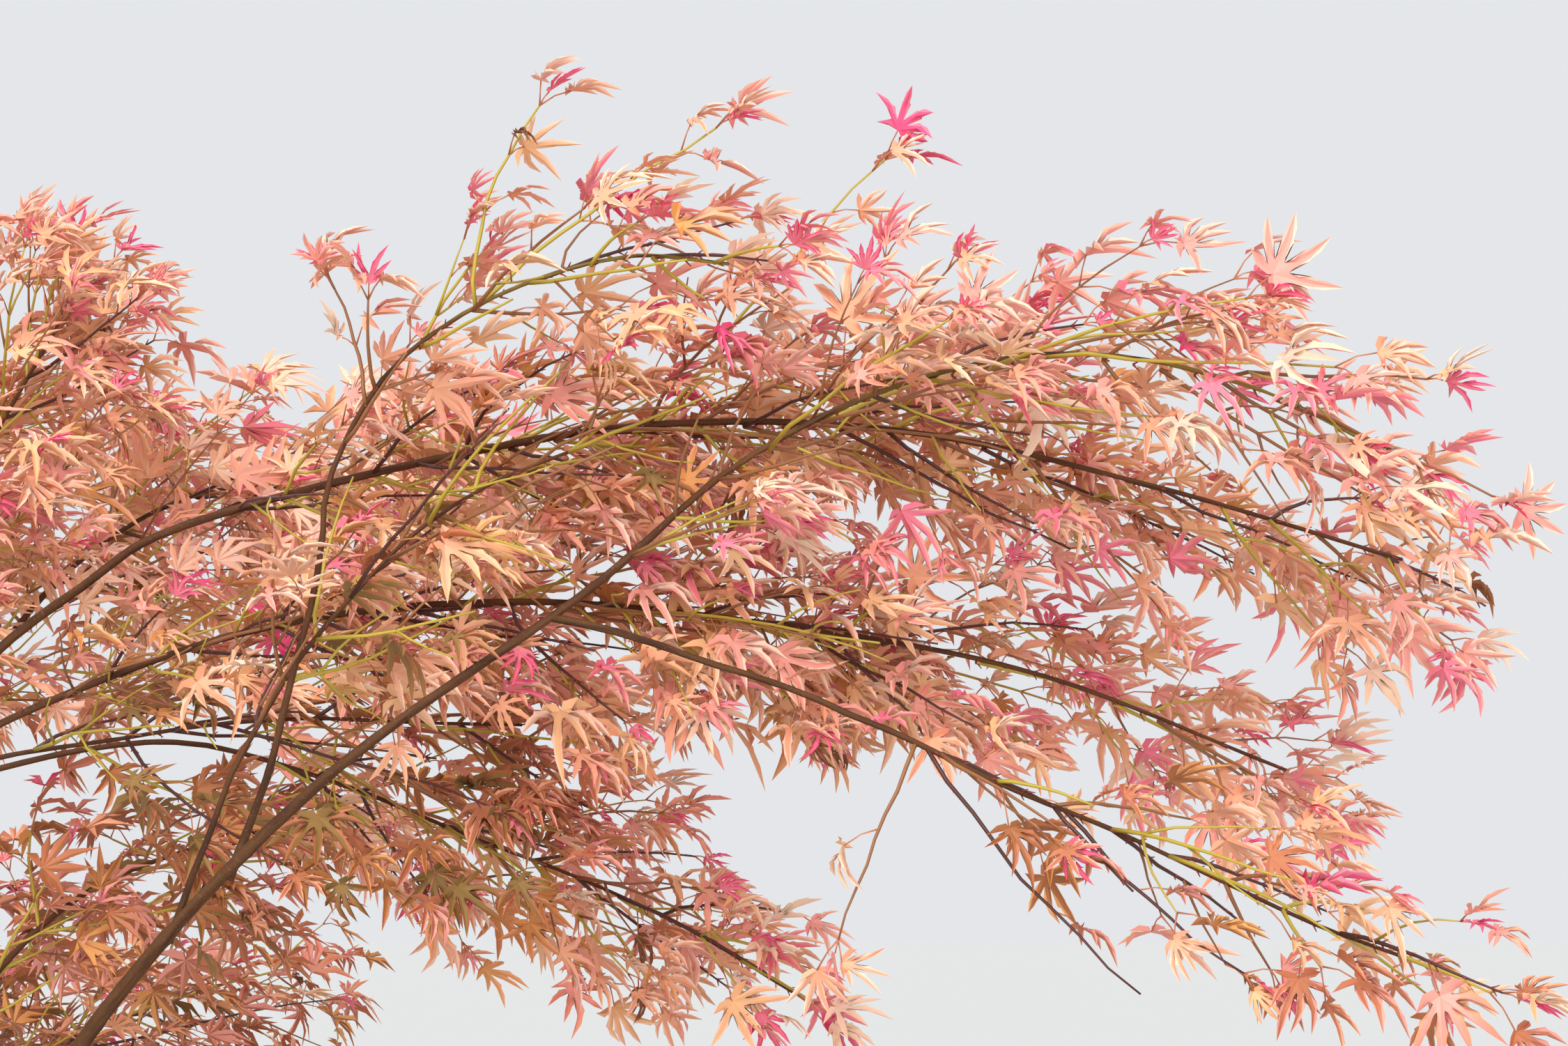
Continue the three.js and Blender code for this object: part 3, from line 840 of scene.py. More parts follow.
@dataclass(frozen=True)
class MapleBark:
    """Smooth maple bark: olive brown on young limbs, grey brown with fine upright furrows below.

    It reads two attributes of the mesh: grain, the place round and along the limb in metres, and
    age, from 0 on a green shoot to 1 at the foot of the trunk.
    """

    green: str = "#A08C3E"
    young: str = "#5F381E"
    middle: str = "#584022"
    old: str = "#675242"
    dark: str = "#402212"
    lichen: str = "#8C7D5A"
    young_age: float = 0.18
    middle_age: float = 0.55
    streaks: BarkPattern = BarkPattern(7.0, 0.12, 5, (0.36, 0.56))
    flecks: BarkPattern = BarkPattern(2.5, 1.8, 3, (0.60, 0.74), 0.35)
    patches: BarkPattern = BarkPattern(60.0, 0.6, 3, (0.52, 0.70), 0.4)
    bump_strength: float = 0.5
    bump_depth: float = 0.0012
    roughness: float = 0.7
    sheen: float = 0.25

    def material(self) -> bpy.types.Material:
        """Builds the material.

        Returns:
            The material.
        """
        made = new_material("maple_bark")
        tree = made.node_tree
        grain = add_node(tree, "ShaderNodeAttribute", attribute_name="grain").outputs["Vector"]
        streaks = self.streaks.noise(tree, grain)
        flecks = self.flecks.noise(tree, grain)
        patches = self.patches.noise(tree, grain)
        dark = linear(self.dark)
        aged = self.streaks.blend(tree, streaks, dark, self.aged_colour(tree))
        spotted = self.flecks.blend(tree, flecks, aged, linear(self.lichen))
        mottled = self.patches.blend(tree, patches, spotted, dark)
        height = add_node(tree, "ShaderNodeMath", {0: streaks, 1: flecks}, operation="ADD")
        bump = add_node(tree, "ShaderNodeBump", {
            "Height": height.outputs[0],
            "Strength": self.bump_strength,
            "Distance": self.bump_depth,
        })
        shader = add_node(tree, "ShaderNodeBsdfPrincipled", {
            "Base Color": mottled,
            "Roughness": self.roughness,
            "Specular IOR Level": self.sheen,
            "Normal": bump.outputs[0],
        })
        add_node(tree, "ShaderNodeOutputMaterial", {"Surface": shader.outputs[0]})
        return made

    def aged_colour(self, tree: bpy.types.NodeTree) -> bpy.types.NodeSocket:
        """The plain colour of the bark by the age of the wood.

        Args:
            tree: The material's node tree.

        Returns:
            The colour.
        """
        age = add_node(tree, "ShaderNodeAttribute", attribute_name="age").outputs["Fac"]
        ramp = add_node(tree, "ShaderNodeValToRGB", {"Fac": age})
        elements = ramp.color_ramp.elements
        elements[0].color = linear(self.green)
        elements[1].color = linear(self.old)
        elements.new(self.young_age).color = linear(self.young)
        elements.new(self.middle_age).color = linear(self.middle)
        return ramp.outputs["Color"]


def deselect_all() -> None:
    """Leaves object mode with nothing selected."""
    if bpy.context.object and bpy.context.object.mode != "OBJECT":
        bpy.ops.object.mode_set(mode="OBJECT")
    bpy.ops.object.select_all(action="DESELECT")


def apply_modifiers(piece: bpy.types.Object) -> None:
    """Applies every modifier of a piece in turn.

    Args:
        piece: The piece.
    """
    bpy.context.view_layer.objects.active = piece
    for modifier in list(piece.modifiers):
        bpy.ops.object.modifier_apply(modifier=modifier.name)


@dataclass
class BarkRelief:
    """The shallow swellings and furrows of the bark as real relief."""

    size: float
    depth: float
    octaves: int = 2

    def press(self, piece: bpy.types.Object) -> None:
        """Pushes the relief into a piece and applies it.

        Args:
            piece: The bark mesh.
        """
        clouds = bpy.data.textures.new(f"{piece.name}_relief", "CLOUDS")
        clouds.noise_scale = self.size
        clouds.noise_depth = self.octaves
        relief = piece.modifiers.new("relief", "DISPLACE")
        relief.texture = clouds
        relief.texture_coords = "LOCAL"
        relief.strength = self.depth
        relief.mid_level = 0.5
        apply_modifiers(piece)


def mark_grain(
    piece: bpy.types.Object, path: np.ndarray, stations: Sequence[float], ages: Sequence[float],
) -> None:
    """Writes the attributes that the bark reads: the place on the limb and the age of the wood.

    Args:
        piece: The bark mesh.
        path: The centre line.
        stations: Distances along it, in metres.
        ages: The age of the wood at each station.
    """
    mesh = piece.data
    count = len(mesh.vertices)
    places = np.empty(count * 3)
    mesh.vertices.foreach_get("co", places)
    places = places.reshape(count, 3)
    nearest = np.argmin(np.linalg.norm(places[:, None] - path[None], axis=2), axis=1)
    along = distances_along(path)[nearest]
    x, y, z = (places - path[nearest]).T
    grain = np.column_stack([x + z, y - z, along])
    mesh.attributes.new("grain", "FLOAT_VECTOR", "POINT").data.foreach_set("vector", grain.ravel())
    age = np.interp(along, stations, ages)
    mesh.attributes.new("age", "FLOAT", "POINT").data.foreach_set("value", age)


@dataclass
class TrunkBark:
    """The trunk's bark: five root swellings at the foot, a slight lean, and a rounded fork."""

    skeleton: Skeleton
    sides: int = 40
    ring_step: float = 18.0
    top_room: float = 5.0
    column_furrow: float = 0.02
    foot_height: float = 2.0
    axis_cuts: int = 6
    ages: tuple[float, float] = (1.0, 0.8)
    relief: BarkRelief = field(default_factory=lambda: BarkRelief(size=0.03, depth=0.004))

    def build(self, bark: bpy.types.Material) -> bpy.types.Object:
        """Models the trunk by extruding a ring up its axis.

        Args:
            bark: The bark material.

        Returns:
            The finished piece.
        """
        axis = self.skeleton.paths["trunk"]
        heights = np.arange(0, TRUNK_LENGTH - self.top_room, self.ring_step)
        heights = np.append(heights, TRUNK_LENGTH)
        radii = np.interp(heights, TRUNK_HEIGHTS, TRUNK_RADII) * MM
        deselect_all()
        bpy.ops.mesh.primitive_circle_add(
            vertices=self.sides, radius=radii[0], fill_type="NGON", location=(0, 0, 0),
        )
        piece = bpy.context.object
        piece.name = "trunk_bark"
        bpy.ops.object.mode_set(mode="EDIT")
        centre = np.zeros(3)
        for low, high, height in zip(radii, radii[1:], heights[1:]):
            target, _ = place_on(axis, height / TRUNK_LENGTH)
            move = {"value": tuple(target - centre)}
            scale = (high / low, high / low, 1)
            bpy.ops.mesh.extrude_region_move(TRANSFORM_OT_translate=move)
            bpy.ops.transform.resize(value=scale, center_override=tuple(target))
            centre = target
        bpy.ops.mesh.select_all(action="SELECT")
        bpy.ops.mesh.normals_make_consistent(inside=False)
        bpy.ops.object.mode_set(mode="OBJECT")
        self.flare(piece, axis)
        finer = piece.modifiers.new("finer", "SUBSURF")
        finer.levels = finer.render_levels = 1
        apply_modifiers(piece)
        self.relief.press(piece)
        self.flatten_foot(piece)
        bpy.ops.object.shade_smooth()
        mark_grain(piece, rounded(axis, self.axis_cuts), (0, TRUNK_LENGTH * MM), self.ages)
        piece.data.materials.append(bark)
        return piece

    def flare(self, piece: bpy.types.Object, axis: np.ndarray) -> None:
        """Swells the foot into root buttresses and furrows the column between them.

        Args:
            piece: The bark mesh.
            axis: The trunk's centre line.
        """
        for vertex in piece.data.vertices:
            height = vertex.co.z / MM
            centre, _ = place_on(axis, height / TRUNK_LENGTH)
            across = np.array(vertex.co) - centre
            turn = math.atan2(across[1], across[0])
            depth = FLARE_DEPTH * max(0.0, 1 - height / FLARE_HEIGHT) + self.column_furrow
            swell = 1 + depth * math.cos(FLARE_LOBES * turn + FLARE_TURN)
            vertex.co.x = centre[0] + across[0] * swell
            vertex.co.y = centre[1] + across[1] * swell

    def flatten_foot(self, piece: bpy.types.Object) -> None:
        """Keeps the foot a flat cut at ground level.

        Args:
            piece: The bark mesh.
        """
        for vertex in piece.data.vertices:
            if vertex.co.z < self.foot_height * MM:
                vertex.co.z = 0


@dataclass
class LimbBark:
    """The bark of one limb: a tapering tube with a collar at its foot and rings at its buds.

    The fields that start with stem are a stem's and those that start with bough a bough's.
    """

    limb: Limb
    path: np.ndarray
    spine: np.ndarray
    stem_sides: int = 6
    bough_sides: int = 4
    tip_radius: float = 0.0013
    thin_bough: float = 5.0
    thin_share: float = 0.78
    collar: float = 0.28
    collar_length: float = 0.035
    cuts: int = 16
    ring_spacing: float = 0.024
    bud_spacing: float = 0.085
    bud_swell: float = 0.1
    bud_width: float = 0.006
    bud_rings: tuple[float, ...] = (-1, -0.4, 0.4, 1)
    end_room: float = 0.02
    thinning: float = 0.55
    long_thinning: float = 1.6
    weld: float = 1e-5
    relief_size: float = 0.02
    stem_relief: float = 0.0012
    bough_relief: float = 0.0006
    stem_age: float = 0.65
    bough_age: float = 0.4
    tip_age: float = 0.22
    end_age: float = 0.18

    def build(self, bark: bpy.types.Material) -> bpy.types.Object:
        """Models the limb as a bevelled curve made into a mesh.

        Args:
            bark: The bark material.

        Returns:
            The finished piece.
        """
        points, radii = self.rings()
        piece = self.tube(points, radii)
        relief = self.stem_relief if self.limb.is_stem else self.bough_relief
        BarkRelief(self.relief_size, relief).press(piece)
        bpy.ops.object.shade_smooth()
        length = self.limb.length * MM
        whole = (self.limb.length + self.limb.foliage.length) * MM
        foot_age = self.stem_age if self.limb.is_stem else self.bough_age
        end_age = 0 if self.limb.name in GREEN_TIPPED else self.end_age
        mark_grain(piece, points, (0, length, whole), (foot_age, self.tip_age, end_age))
        piece.data.materials.clear()
        piece.data.materials.append(bark)
        return piece

    def tube(self, points: np.ndarray, radii: np.ndarray) -> bpy.types.Object:
        """Models the plain tube through the centres of the rings.

        Args:
            points: The centre of each ring.
            radii: The radius of each.

        Returns:
            The piece.
        """
        deselect_all()
        bpy.ops.curve.primitive_nurbs_path_add(location=(0, 0, 0))
        piece = bpy.context.object
        piece.name = f"{self.limb.name}_bark"
        curve = piece.data
        curve.splines.clear()
        spline = curve.splines.new("POLY")
        spline.points.add(len(points) - 1)
        spline.points.foreach_set("co", np.column_stack([points, np.ones(len(radii))]).ravel())
        spline.points.foreach_set("radius", radii)
        curve.bevel_depth = 1.0
        curve.bevel_resolution = self.stem_sides if self.limb.is_stem else self.bough_sides
        curve.use_fill_caps = True
        bpy.ops.object.convert(target="MESH")
        bpy.ops.object.mode_set(mode="EDIT")
        bpy.ops.mesh.select_all(action="SELECT")
        bpy.ops.mesh.remove_doubles(threshold=self.weld)
        bpy.ops.mesh.normals_make_consistent(inside=False)
        bpy.ops.object.mode_set(mode="OBJECT")
        return piece

    def rings(self) -> tuple[np.ndarray, np.ndarray]:
        """The places and radii of the tube's rings.

        Returns:
            The centre of each ring, and its radius, in metres.
        """
        smooth = rounded(np.vstack([self.path, self.spine[2:]]), self.cuts)
        along = distances_along(smooth)
        whole = along[-1]
        buds = np.arange(self.bud_spacing, whole - self.end_room, self.bud_spacing)
        close = np.array(self.bud_rings) * self.bud_width
        even = np.linspace(0, whole, int(whole / self.ring_spacing))
        stations = np.concatenate([even, *(bud + close for bud in buds)])
        stations = np.unique(np.clip(stations, 0, whole))
        places = [np.interp(stations, along, smooth[:, i]) for i in range(3)]
        return np.column_stack(places), self.radii(stations, whole, buds)

    def radii(self, stations: np.ndarray, whole: float, buds: np.ndarray) -> np.ndarray:
        """The radius at each station, with the collar at the foot and a swelling at each bud.

        Args:
            stations: Distances along the limb and its mass's stem.
            whole: The length of both.
            buds: The stations of the buds.

        Returns:
            One radius for each station.
        """
        length = self.limb.length * MM
        taper = STEM_TAPER if self.limb.is_stem else BOUGH_TAPER
        base, tip = (radius * MM for radius in self.limb.radii)
        if self.limb.radii[0] < self.thin_bough:
            base, tip = base * self.thin_share, tip * self.thin_share
        left = np.clip(1 - stations / length, 0, 1)
        beyond = np.clip((stations - length) / (whole - length), 0, 1)
        thinning = self.long_thinning if self.limb.name in LONG_MASSES else self.thinning
        radii = tip + (base - tip) * left**taper + (self.tip_radius - tip) * beyond**thinning
        radii *= 1 + self.collar * np.exp(-((stations / self.collar_length) ** 2))
        for bud in buds:
            radii *= 1 + self.bud_swell * np.exp(-(((stations - bud) / self.bud_width * 2) ** 2))
        return radii


@dataclass
class Twig:
    """A run of thin wood: its points, its radii at foot and tip in metres, and its age."""

    points: np.ndarray
    radii: tuple[float, float]
    age: Age


@dataclass
class Leaf:
    """A leaf: where its stalk leaves the wood, where its lobes meet, and how its blade is held.

    droop bends the blade down in radians over its reach, spread opens or shuts the fan of lobes,
    and fold lifts each lobe's edges off its rib.
    """

    node: np.ndarray
    heart: np.ndarray
    axis: np.ndarray
    normal: np.ndarray
    reach: float
    droop: float
    spread: float
    fold: float
    outer: Tint
    inner: Tint


@dataclass
class Growth:
    """The wood and the leaves of one mass."""

    twigs: list[Twig] = field(default_factory=list)
    leaves: list[Leaf] = field(default_factory=list)


@dataclass(frozen=True)
class WarmthHabit:
    """What makes a leaf's colour warmer, from about 0, painted shade, to about 1 for pink."""

    base: float = 0.42
    # Outward and upward keep the darker painted shade to the inner and lower leaves.
    outward: float = 0.24
    upward: float = 0.2
    jitter: float = 0.28
    along_shoot: float = 0.3
    at_tip: float = 0.15
    mood_jitter: float = 0.18
    flushed_from: float = 0.5
    flushed_odds: float = 0.03


@dataclass(frozen=True)
class ShootHabit:
    """How shoots leave the wood and run on, in metres, degrees and shares of a length.

    The fields that start with side are those of a side shoot.
    """

    roll_jitter: float = 14
    spread_jitter: float = 10
    reach: tuple[float, float] = (0.8, 1.12)
    leaf_room: float = 0.03
    least_length: float = 0.05
    radius: float = 0.0018
    steps: int = 6
    side_steps: int = 4
    sag: tuple[float, float] = (0.1, 0.4)
    forward: float = 0.85
    wander: float = 0.06
    green_odds: float = 0.45
    taper: float = 0.45
    end_room: float = 0.02
    first_leaf: float = 0.03
    last_leaf: float = 0.96
    turn_jitter: float = 22
    side_room: float = 0.06
    side_lean: float = 0.7
    side_length: float = 0.03
    side_length_share: float = 0.5
    side_radius_share: float = 0.7


@dataclass(frozen=True)
class BudHabit:
    """The small pointed buds that stand in pairs on old wood, in metres and shares."""

    spacing: float = 0.022
    first: float = 0.6
    forward: float = 1.2
    widest: float = 1.2
    length: float = 0.0045
    radii: tuple[float, float] = (0.0012, 0.0004)


@dataclass(frozen=True)
class LeafHabit:
    """How a full-grown leaf hangs on its stalk, in metres, radians and shares of its reach.

    Most pairs are ranges. That of droop is its least and the most that is added to it.
    """

    reach_limits: tuple[float, float] = (0.028, 0.062)
    stalk_forward: float = 0.75
    stalk_out: float = 0.65
    stalk_jitter: float = 0.12
    stalk_length: tuple[float, float] = (0.4, 0.75)
    hang: tuple[float, float] = (-0.05, 0.45)
    hang_less: float = 0.5
    hang_warmth: float = 0.4
    lead: float = 0.7
    axis_spread: float = 0.2
    face_out: float = 0.5
    face_spread: float = 0.35
    droop: tuple[float, float] = (0.15, 1.1)
    droop_power: float = 1.6
    spread: tuple[float, float] = (0.58, 1.02)
    fold: tuple[float, float] = (0.4, 1.3)
    dry_odds: float = 0.012
    dry_size: float = 0.7
    dry_droop: tuple[float, float] = (1.6, 2.4)
    dry_spread: float = 0.5


@dataclass(frozen=True)
class TipHabit:
    """How a shoot ends: its last pair of leaves, and the folded one that is often between them."""

    pair_forward: float = 1.4
    pair_size: float = 0.85
    odds: float = 0.4
    warm_odds: float = 0.5
    bright_odds: float = 0.35
    warm_bright_odds: float = 0.6
    bright_warmth: float = 0.4
    reach: tuple[float, float] = (0.022, 0.040)
    face_spread: float = 0.4
    axis_spread: float = 0.2
    stalk_length: float = 0.4
    droop: float = 0.3
    spread: float = 0.6
    fold: float = 0.8


@dataclass(frozen=True)
class LongShootHabit:
    """How the vigorous shoots run and carry their leaves, in metres and shares of the shoot."""

    steps: int = 8
    wander: float = 2 * WANDER
    radii: tuple[float, float] = (0.0018, 0.0008)
    leafy: tuple[float, float] = (0.45, 0.97)
    leaf_spacing: float = 0.045
    leaf_size: float = 0.8
    warmth: float = 0.9
    tip_warmth: float = 1.0


@dataclass
class SprayGrower:
    """Grows a mass from its stem: shoots in opposite pairs, side shoots, stalks and leaves."""

    limb: Limb
    spine: np.ndarray
    random: np.random.Generator
    node_spacing: float
    leaf_spacing: tuple[float, float]
    least_nodes: int = 4
    outward: float = 0.62
    tip_room: float = 0.16
    tip_warmth: float = 0.9
    bud_radius: float = 0.0022
    side_shoot_odds: float = 0.4
    leaf_reach: tuple[float, float] = (0.046, 0.007)
    open_from: float = 0.66
    open_odds: float = 0.4
    bare_odds: float = 0.3
    bare_until: float = 0.4
    has_buds: bool = True
    old_odds: float = 0.3
    warmths: WarmthHabit = WarmthHabit()
    shoots: ShootHabit = ShootHabit()
    bud_habit: BudHabit = BudHabit()
    leaf_habit: LeafHabit = LeafHabit()
    tips: TipHabit = TipHabit()
    long_shoots: LongShootHabit = LongShootHabit()
    growth: Growth = field(default_factory=Growth)

    def grow(self) -> Growth:
        """Grows the whole mass.

        Returns:
            Its wood and leaves.
        """
        length = self.limb.foliage.length * MM
        nodes = max(self.least_nodes, round(length / self.node_spacing))
        for index in range(nodes):
            share = FIRST_NODE + (LAST_NODE - FIRST_NODE) * index / (nodes - 1)
            roll = PAIR_ROLLS[index % len(PAIR_ROLLS)]
            for side in BOTH_SIDES:
                if share < self.open_from or self.random.random() > self.open_odds:
                    self.shoot_from_stem(share, roll + side)
        end, along = place_on(self.spine, 1)
        self.tip(end, along, self.tip_warmth)
        self.buds(self.spine, self.bud_radius)
        return self.growth

    def jitter(self, size: float) -> float:
        """A random number from minus size to size."""
        return float(self.random.uniform(-size, size))

    def shoot_from_stem(self, share: float, roll: float) -> None:
        """Grows one shoot from the stem out to the edge of the mass.

        Args:
            share: Where it leaves the stem.
            roll: Its turn about the stem, in degrees, 0 level and 90 up.
        """
        habit = self.shoots
        foot, along = place_on(self.spine, share)
        level = unit(np.array([-along[1], along[0], 0.0]))
        above = unit(np.cross(along, level))
        angle = radians(roll + self.jitter(habit.roll_jitter))
        out = level * math.cos(angle) + above * math.sin(angle)
        spread = radians(SPREAD + self.jitter(habit.spread_jitter))
        direction = along * math.cos(spread) + out * math.sin(spread)
        mass = self.limb.foliage
        edge = 1 / math.hypot(math.cos(angle) / mass.half_width, math.sin(angle) / mass.half_height)
        reach = edge * MM * fullness(share) * self.random.uniform(*habit.reach)
        room = (1 - share) * mass.length * MM + self.tip_room
        length = min(max(habit.least_length, (reach - habit.leaf_room) / self.outward), room)
        warmth = self.warmths.base + self.warmths.outward * share
        warmth = warmth + self.warmths.upward * math.sin(angle) + self.jitter(self.warmths.jitter)
        # The mass's own pinkness, and its painted shade or painted light, shift the warmth.
        warmth += MASS_WARMTH_AND_PAINTED_LIGHT.get(self.limb.name, 0.0)
        self.shoot(foot, direction, along, length, habit.radius, warmth)

    def shoot(
        self, foot: np.ndarray, direction: np.ndarray, forward: np.ndarray,
        length: float, radius: float, warmth: float, is_side: bool = False,
    ) -> None:
        """Grows a shoot with its leaves and side shoots.

        Args:
            foot: Where it starts.
            direction: Its first direction.
            forward: The direction that it bends to.
            length: Its length in metres.
            radius: Its radius at the foot.
            warmth: 0 for the shaded colours and 1 for the pink ones.
            is_side: True for a side shoot, which has no side shoots of its own.
        """
        habit = self.shoots
        path = self.shoot_path(foot, direction, forward, length, is_side)
        age = Age.SHOOT if self.random.random() < habit.green_odds else Age.TAN
        if not is_side and self.random.random() < self.old_odds:
            age = Age.OLD
        self.growth.twigs.append(Twig(path, (radius, radius * habit.taper), age))
        if age is Age.OLD:
            self.buds(path, radius)
        spacing = self.random.uniform(*self.leaf_spacing)
        turn = self.random.uniform(0, HALF_TURN)
        for index in range(max(1, int((length - habit.end_room) / spacing))):
            place = (habit.first_leaf + index * spacing) / length
            if place >= habit.last_leaf:
                break
            node, along = place_on(path, place)
            turn += QUARTER_TURN
            for side in BOTH_SIDES:
                left = 0 if is_side else length * (1 - place)
                self.at_node(node, along, turn + side, place, left, radius, warmth)
        end, along = place_on(path, 1)
        self.tip(end, along, warmth)

    def shoot_path(
        self, foot: np.ndarray, direction: np.ndarray, forward: np.ndarray,
        length: float, is_side: bool,
    ) -> np.ndarray:
        """The points of a shoot that bends forward and sags.

        Args:
            foot: Where it starts.
            direction: Its first direction.
            forward: The direction that it bends to.
            length: Its length in metres.
            is_side: True for a side shoot, which has fewer steps.

        Returns:
            One row for each point.
        """
        habit = self.shoots
        steps = habit.side_steps if is_side else habit.steps
        sag = self.random.uniform(*habit.sag)
        points = [foot]
        for step in range(steps):
            share = (step + 0.5) / steps
            bend = share * (habit.forward * forward - sag * UP)
            bent = direction + bend + self.random.normal(0, habit.wander, 3)
            points.append(points[-1] + unit(bent) * length / steps)
        return np.array(points)

    def buds(self, path: np.ndarray, radius: float) -> None:
        """Sets pairs of small pointed buds along a piece of old wood, in a mass that has them.

        Args:
            path: The wood.
            radius: Its radius.
        """
        if not self.has_buds:
            return
        habit = self.bud_habit
        count = int(distances_along(path)[-1] / habit.spacing)
        for index in range(count):
            node, along = place_on(path, (index + habit.first) / count)
            for side in BOTH_SIDES:
                sideways = self.sideways(along, QUARTER_TURN * index + side)
                out = unit(sideways + along * habit.forward)
                middle = node + out * radius * habit.widest
                points = np.array([node, middle, node + out * (radius + habit.length)])
                self.growth.twigs.append(Twig(points, habit.radii, Age.BUD))

    def at_node(
        self, node: np.ndarray, along: np.ndarray, turn: float, place: float,
        left: float, radius: float, warmth: float,
    ) -> None:
        """Sets a leaf, or a side shoot, on one side of a node.

        Args:
            node: Where it is.
            along: The direction of the wood there.
            turn: Its turn about the wood, in degrees.
            place: Its share of the shoot.
            left: The length that a side shoot has room in, or 0 where none may grow.
            radius: The shoot's radius at its foot.
            warmth: The shoot's warmth.
        """
        habit = self.shoots
        side = self.sideways(along, turn)
        if left > habit.side_room and self.random.random() < self.side_shoot_odds:
            direction = unit(along * habit.side_lean + side * habit.side_lean)
            length = habit.side_length + habit.side_length_share * left
            thinner = radius * habit.side_radius_share
            self.shoot(node, direction, along, length, thinner, warmth, is_side=True)
            return
        if place < self.bare_until and self.random.random() < self.bare_odds:
            return
        self.leaf(node, along, side, warmth + self.warmths.along_shoot * (place - 0.5))

    def sideways(self, along: np.ndarray, turn: float) -> np.ndarray:
        """A direction square to the wood, turned about it; 0 is level.

        Args:
            along: The direction of the wood.
            turn: The turn about it, in degrees.

        Returns:
            A vector of length one.
        """
        level = unit(np.cross(UP, along) + NUDGE * EAST)
        above = np.cross(along, level)
        angle = radians(turn + self.jitter(self.shoots.turn_jitter))
        return level * math.cos(angle) + above * math.sin(angle)

    def mood(self, warmth: float) -> Mood:
        """The colouring for a warmth.

        Args:
            warmth: About 0 in the shade and about 1 for pink.

        Returns:
            The mood.
        """
        habit = self.warmths
        if warmth > habit.flushed_from and self.random.random() < habit.flushed_odds:
            return Mood.FLUSHED
        order = SHADED_ORDER if self.limb.name in SHADED_MASSES else MOOD_ORDER
        place = round((warmth + self.jitter(habit.mood_jitter)) * (len(order) - 1))
        return order[min(max(place, 0), len(order) - 1)]

    def leaf(
        self, node: np.ndarray, along: np.ndarray, side: np.ndarray, warmth: float,
        size: float = 1.0,
    ) -> None:
        """Hangs one full-grown leaf on its stalk.

        Args:
            node: Where its stalk leaves the wood.
            along: The direction of the wood, longer where the stalk keeps to it.
            side: The direction out of the wood.
            warmth: About 0 in the shade and about 1 for pink.
            size: A share of the full size.
        """
        habit, random = self.leaf_habit, self.random
        reach = float(np.clip(random.normal(*self.leaf_reach), *habit.reach_limits)) * size
        lift = UP * self.jitter(habit.stalk_jitter)
        stalk = unit(along * habit.stalk_forward + side * habit.stalk_out + lift)
        heart = node + stalk * reach * random.uniform(*habit.stalk_length)
        hang = random.uniform(*habit.hang) - habit.hang_less * (warmth - habit.hang_warmth)
        axis = stalk + self.lead() * habit.lead - UP * hang
        axis = unit(axis + random.normal(0, habit.axis_spread, 3))
        face = UP + self.away(heart) * habit.face_out + random.normal(0, habit.face_spread, 3)
        pairs = self.mood(warmth).value
        outer, inner = pairs[random.integers(len(pairs))]
        if random.random() < habit.dry_odds:
            outer, inner, reach = Tint.DRY, Tint.DRY, reach * habit.dry_size
            droop, spread = random.uniform(*habit.dry_droop), habit.dry_spread
        else:
            droop = habit.droop[0] + habit.droop[1] * random.random()**habit.droop_power
            spread = random.uniform(*habit.spread)
        fold = random.uniform(*habit.fold)
        normal = unit(square_to(face, axis))
        blade = Leaf(node, heart, axis, normal, reach, droop, spread, fold, outer, inner)
        self.growth.leaves.append(blade)

    def lead(self) -> np.ndarray:
        """The level direction that the whole mass grows in, which its leaves lean to."""
        return unit((self.spine[-1] - self.spine[0]) * LEVEL)

    def away(self, place: np.ndarray) -> np.ndarray:
        """The level direction from the mass's stem out to a place."""
        along = unit(self.spine[-1] - self.spine[0])
        return unit(square_to(place - self.spine[0], along) * LEVEL)

    def tip(self, end: np.ndarray, along: np.ndarray, warmth: float) -> None:
        """Ends a shoot with a pair of young leaves, and often a folded pink one between them.

        Args:
            end: Where the shoot ends.
            along: Its direction there.
            warmth: About 0 in the shade and about 1 for pink.
        """
        habit, random = self.tips, self.random
        turn = random.uniform(0, HALF_TURN)
        warmer = warmth + self.warmths.at_tip
        for side in BOTH_SIDES:
            out = self.sideways(along, turn + side)
            self.leaf(end, along * habit.pair_forward, out, warmer, habit.pair_size)
        if random.random() >= habit.odds + habit.warm_odds * warmth:
            return
        odds = habit.bright_odds + habit.warm_bright_odds * (warmth - habit.bright_warmth)
        bright = random.random() < odds
        reach = random.uniform(*habit.reach)
        face = UP + random.normal(0, habit.face_spread, 3)
        axis = unit(along + random.normal(0, habit.axis_spread, 3))
        outer, inner = (Tint.CARMINE, Tint.FLUSH) if bright else (Tint.FLUSH, Tint.ROSE)
        self.growth.leaves.append(Leaf(
            end, end + along * reach * habit.stalk_length, axis, unit(square_to(face, axis)),
            reach, habit.droop, habit.spread, habit.fold, outer, inner,
        ))

    def long_shoot(self, row: LongShoot, phase: int) -> None:
        """Adds a vigorous shoot that stands clear of the mass.

        Args:
            row: The shoot's bearings and length.
            phase: What makes its wander its own.
        """
        habit = self.long_shoots
        length = row.length * MM
        foot, _ = place_on(self.spine, row.station)
        path = grow_path(foot, row.compass, row.climb, length, habit.steps, habit.wander, phase)
        self.growth.twigs.append(Twig(path, habit.radii, row.age))
        turn = 0.0
        for place in np.arange(*habit.leafy, habit.leaf_spacing / length):
            node, along = place_on(path, float(place))
            turn += QUARTER_TURN
            for side in BOTH_SIDES:
                out = self.sideways(along, turn + side)
                self.leaf(node, along, out, habit.warmth, habit.leaf_size)
        end, along = place_on(path, 1)
        self.tip(end, along, habit.tip_warmth)


# A bud is a run of three points; every shoot has more.
BUD_POINTS = 3
# The lobes of a leaf, from one side of the stalk to the other: angle and length.
LOBES = ((-118, 0.42), (-78, 0.76), (-38, 0.95), (0, 1.0), (38, 0.95), (78, 0.76), (118, 0.42))
NOTCH_PLACE = 0.22
HEART_NOTCH_PLACE = 0.12
HEART_NOTCH_OFFSET = 0.09
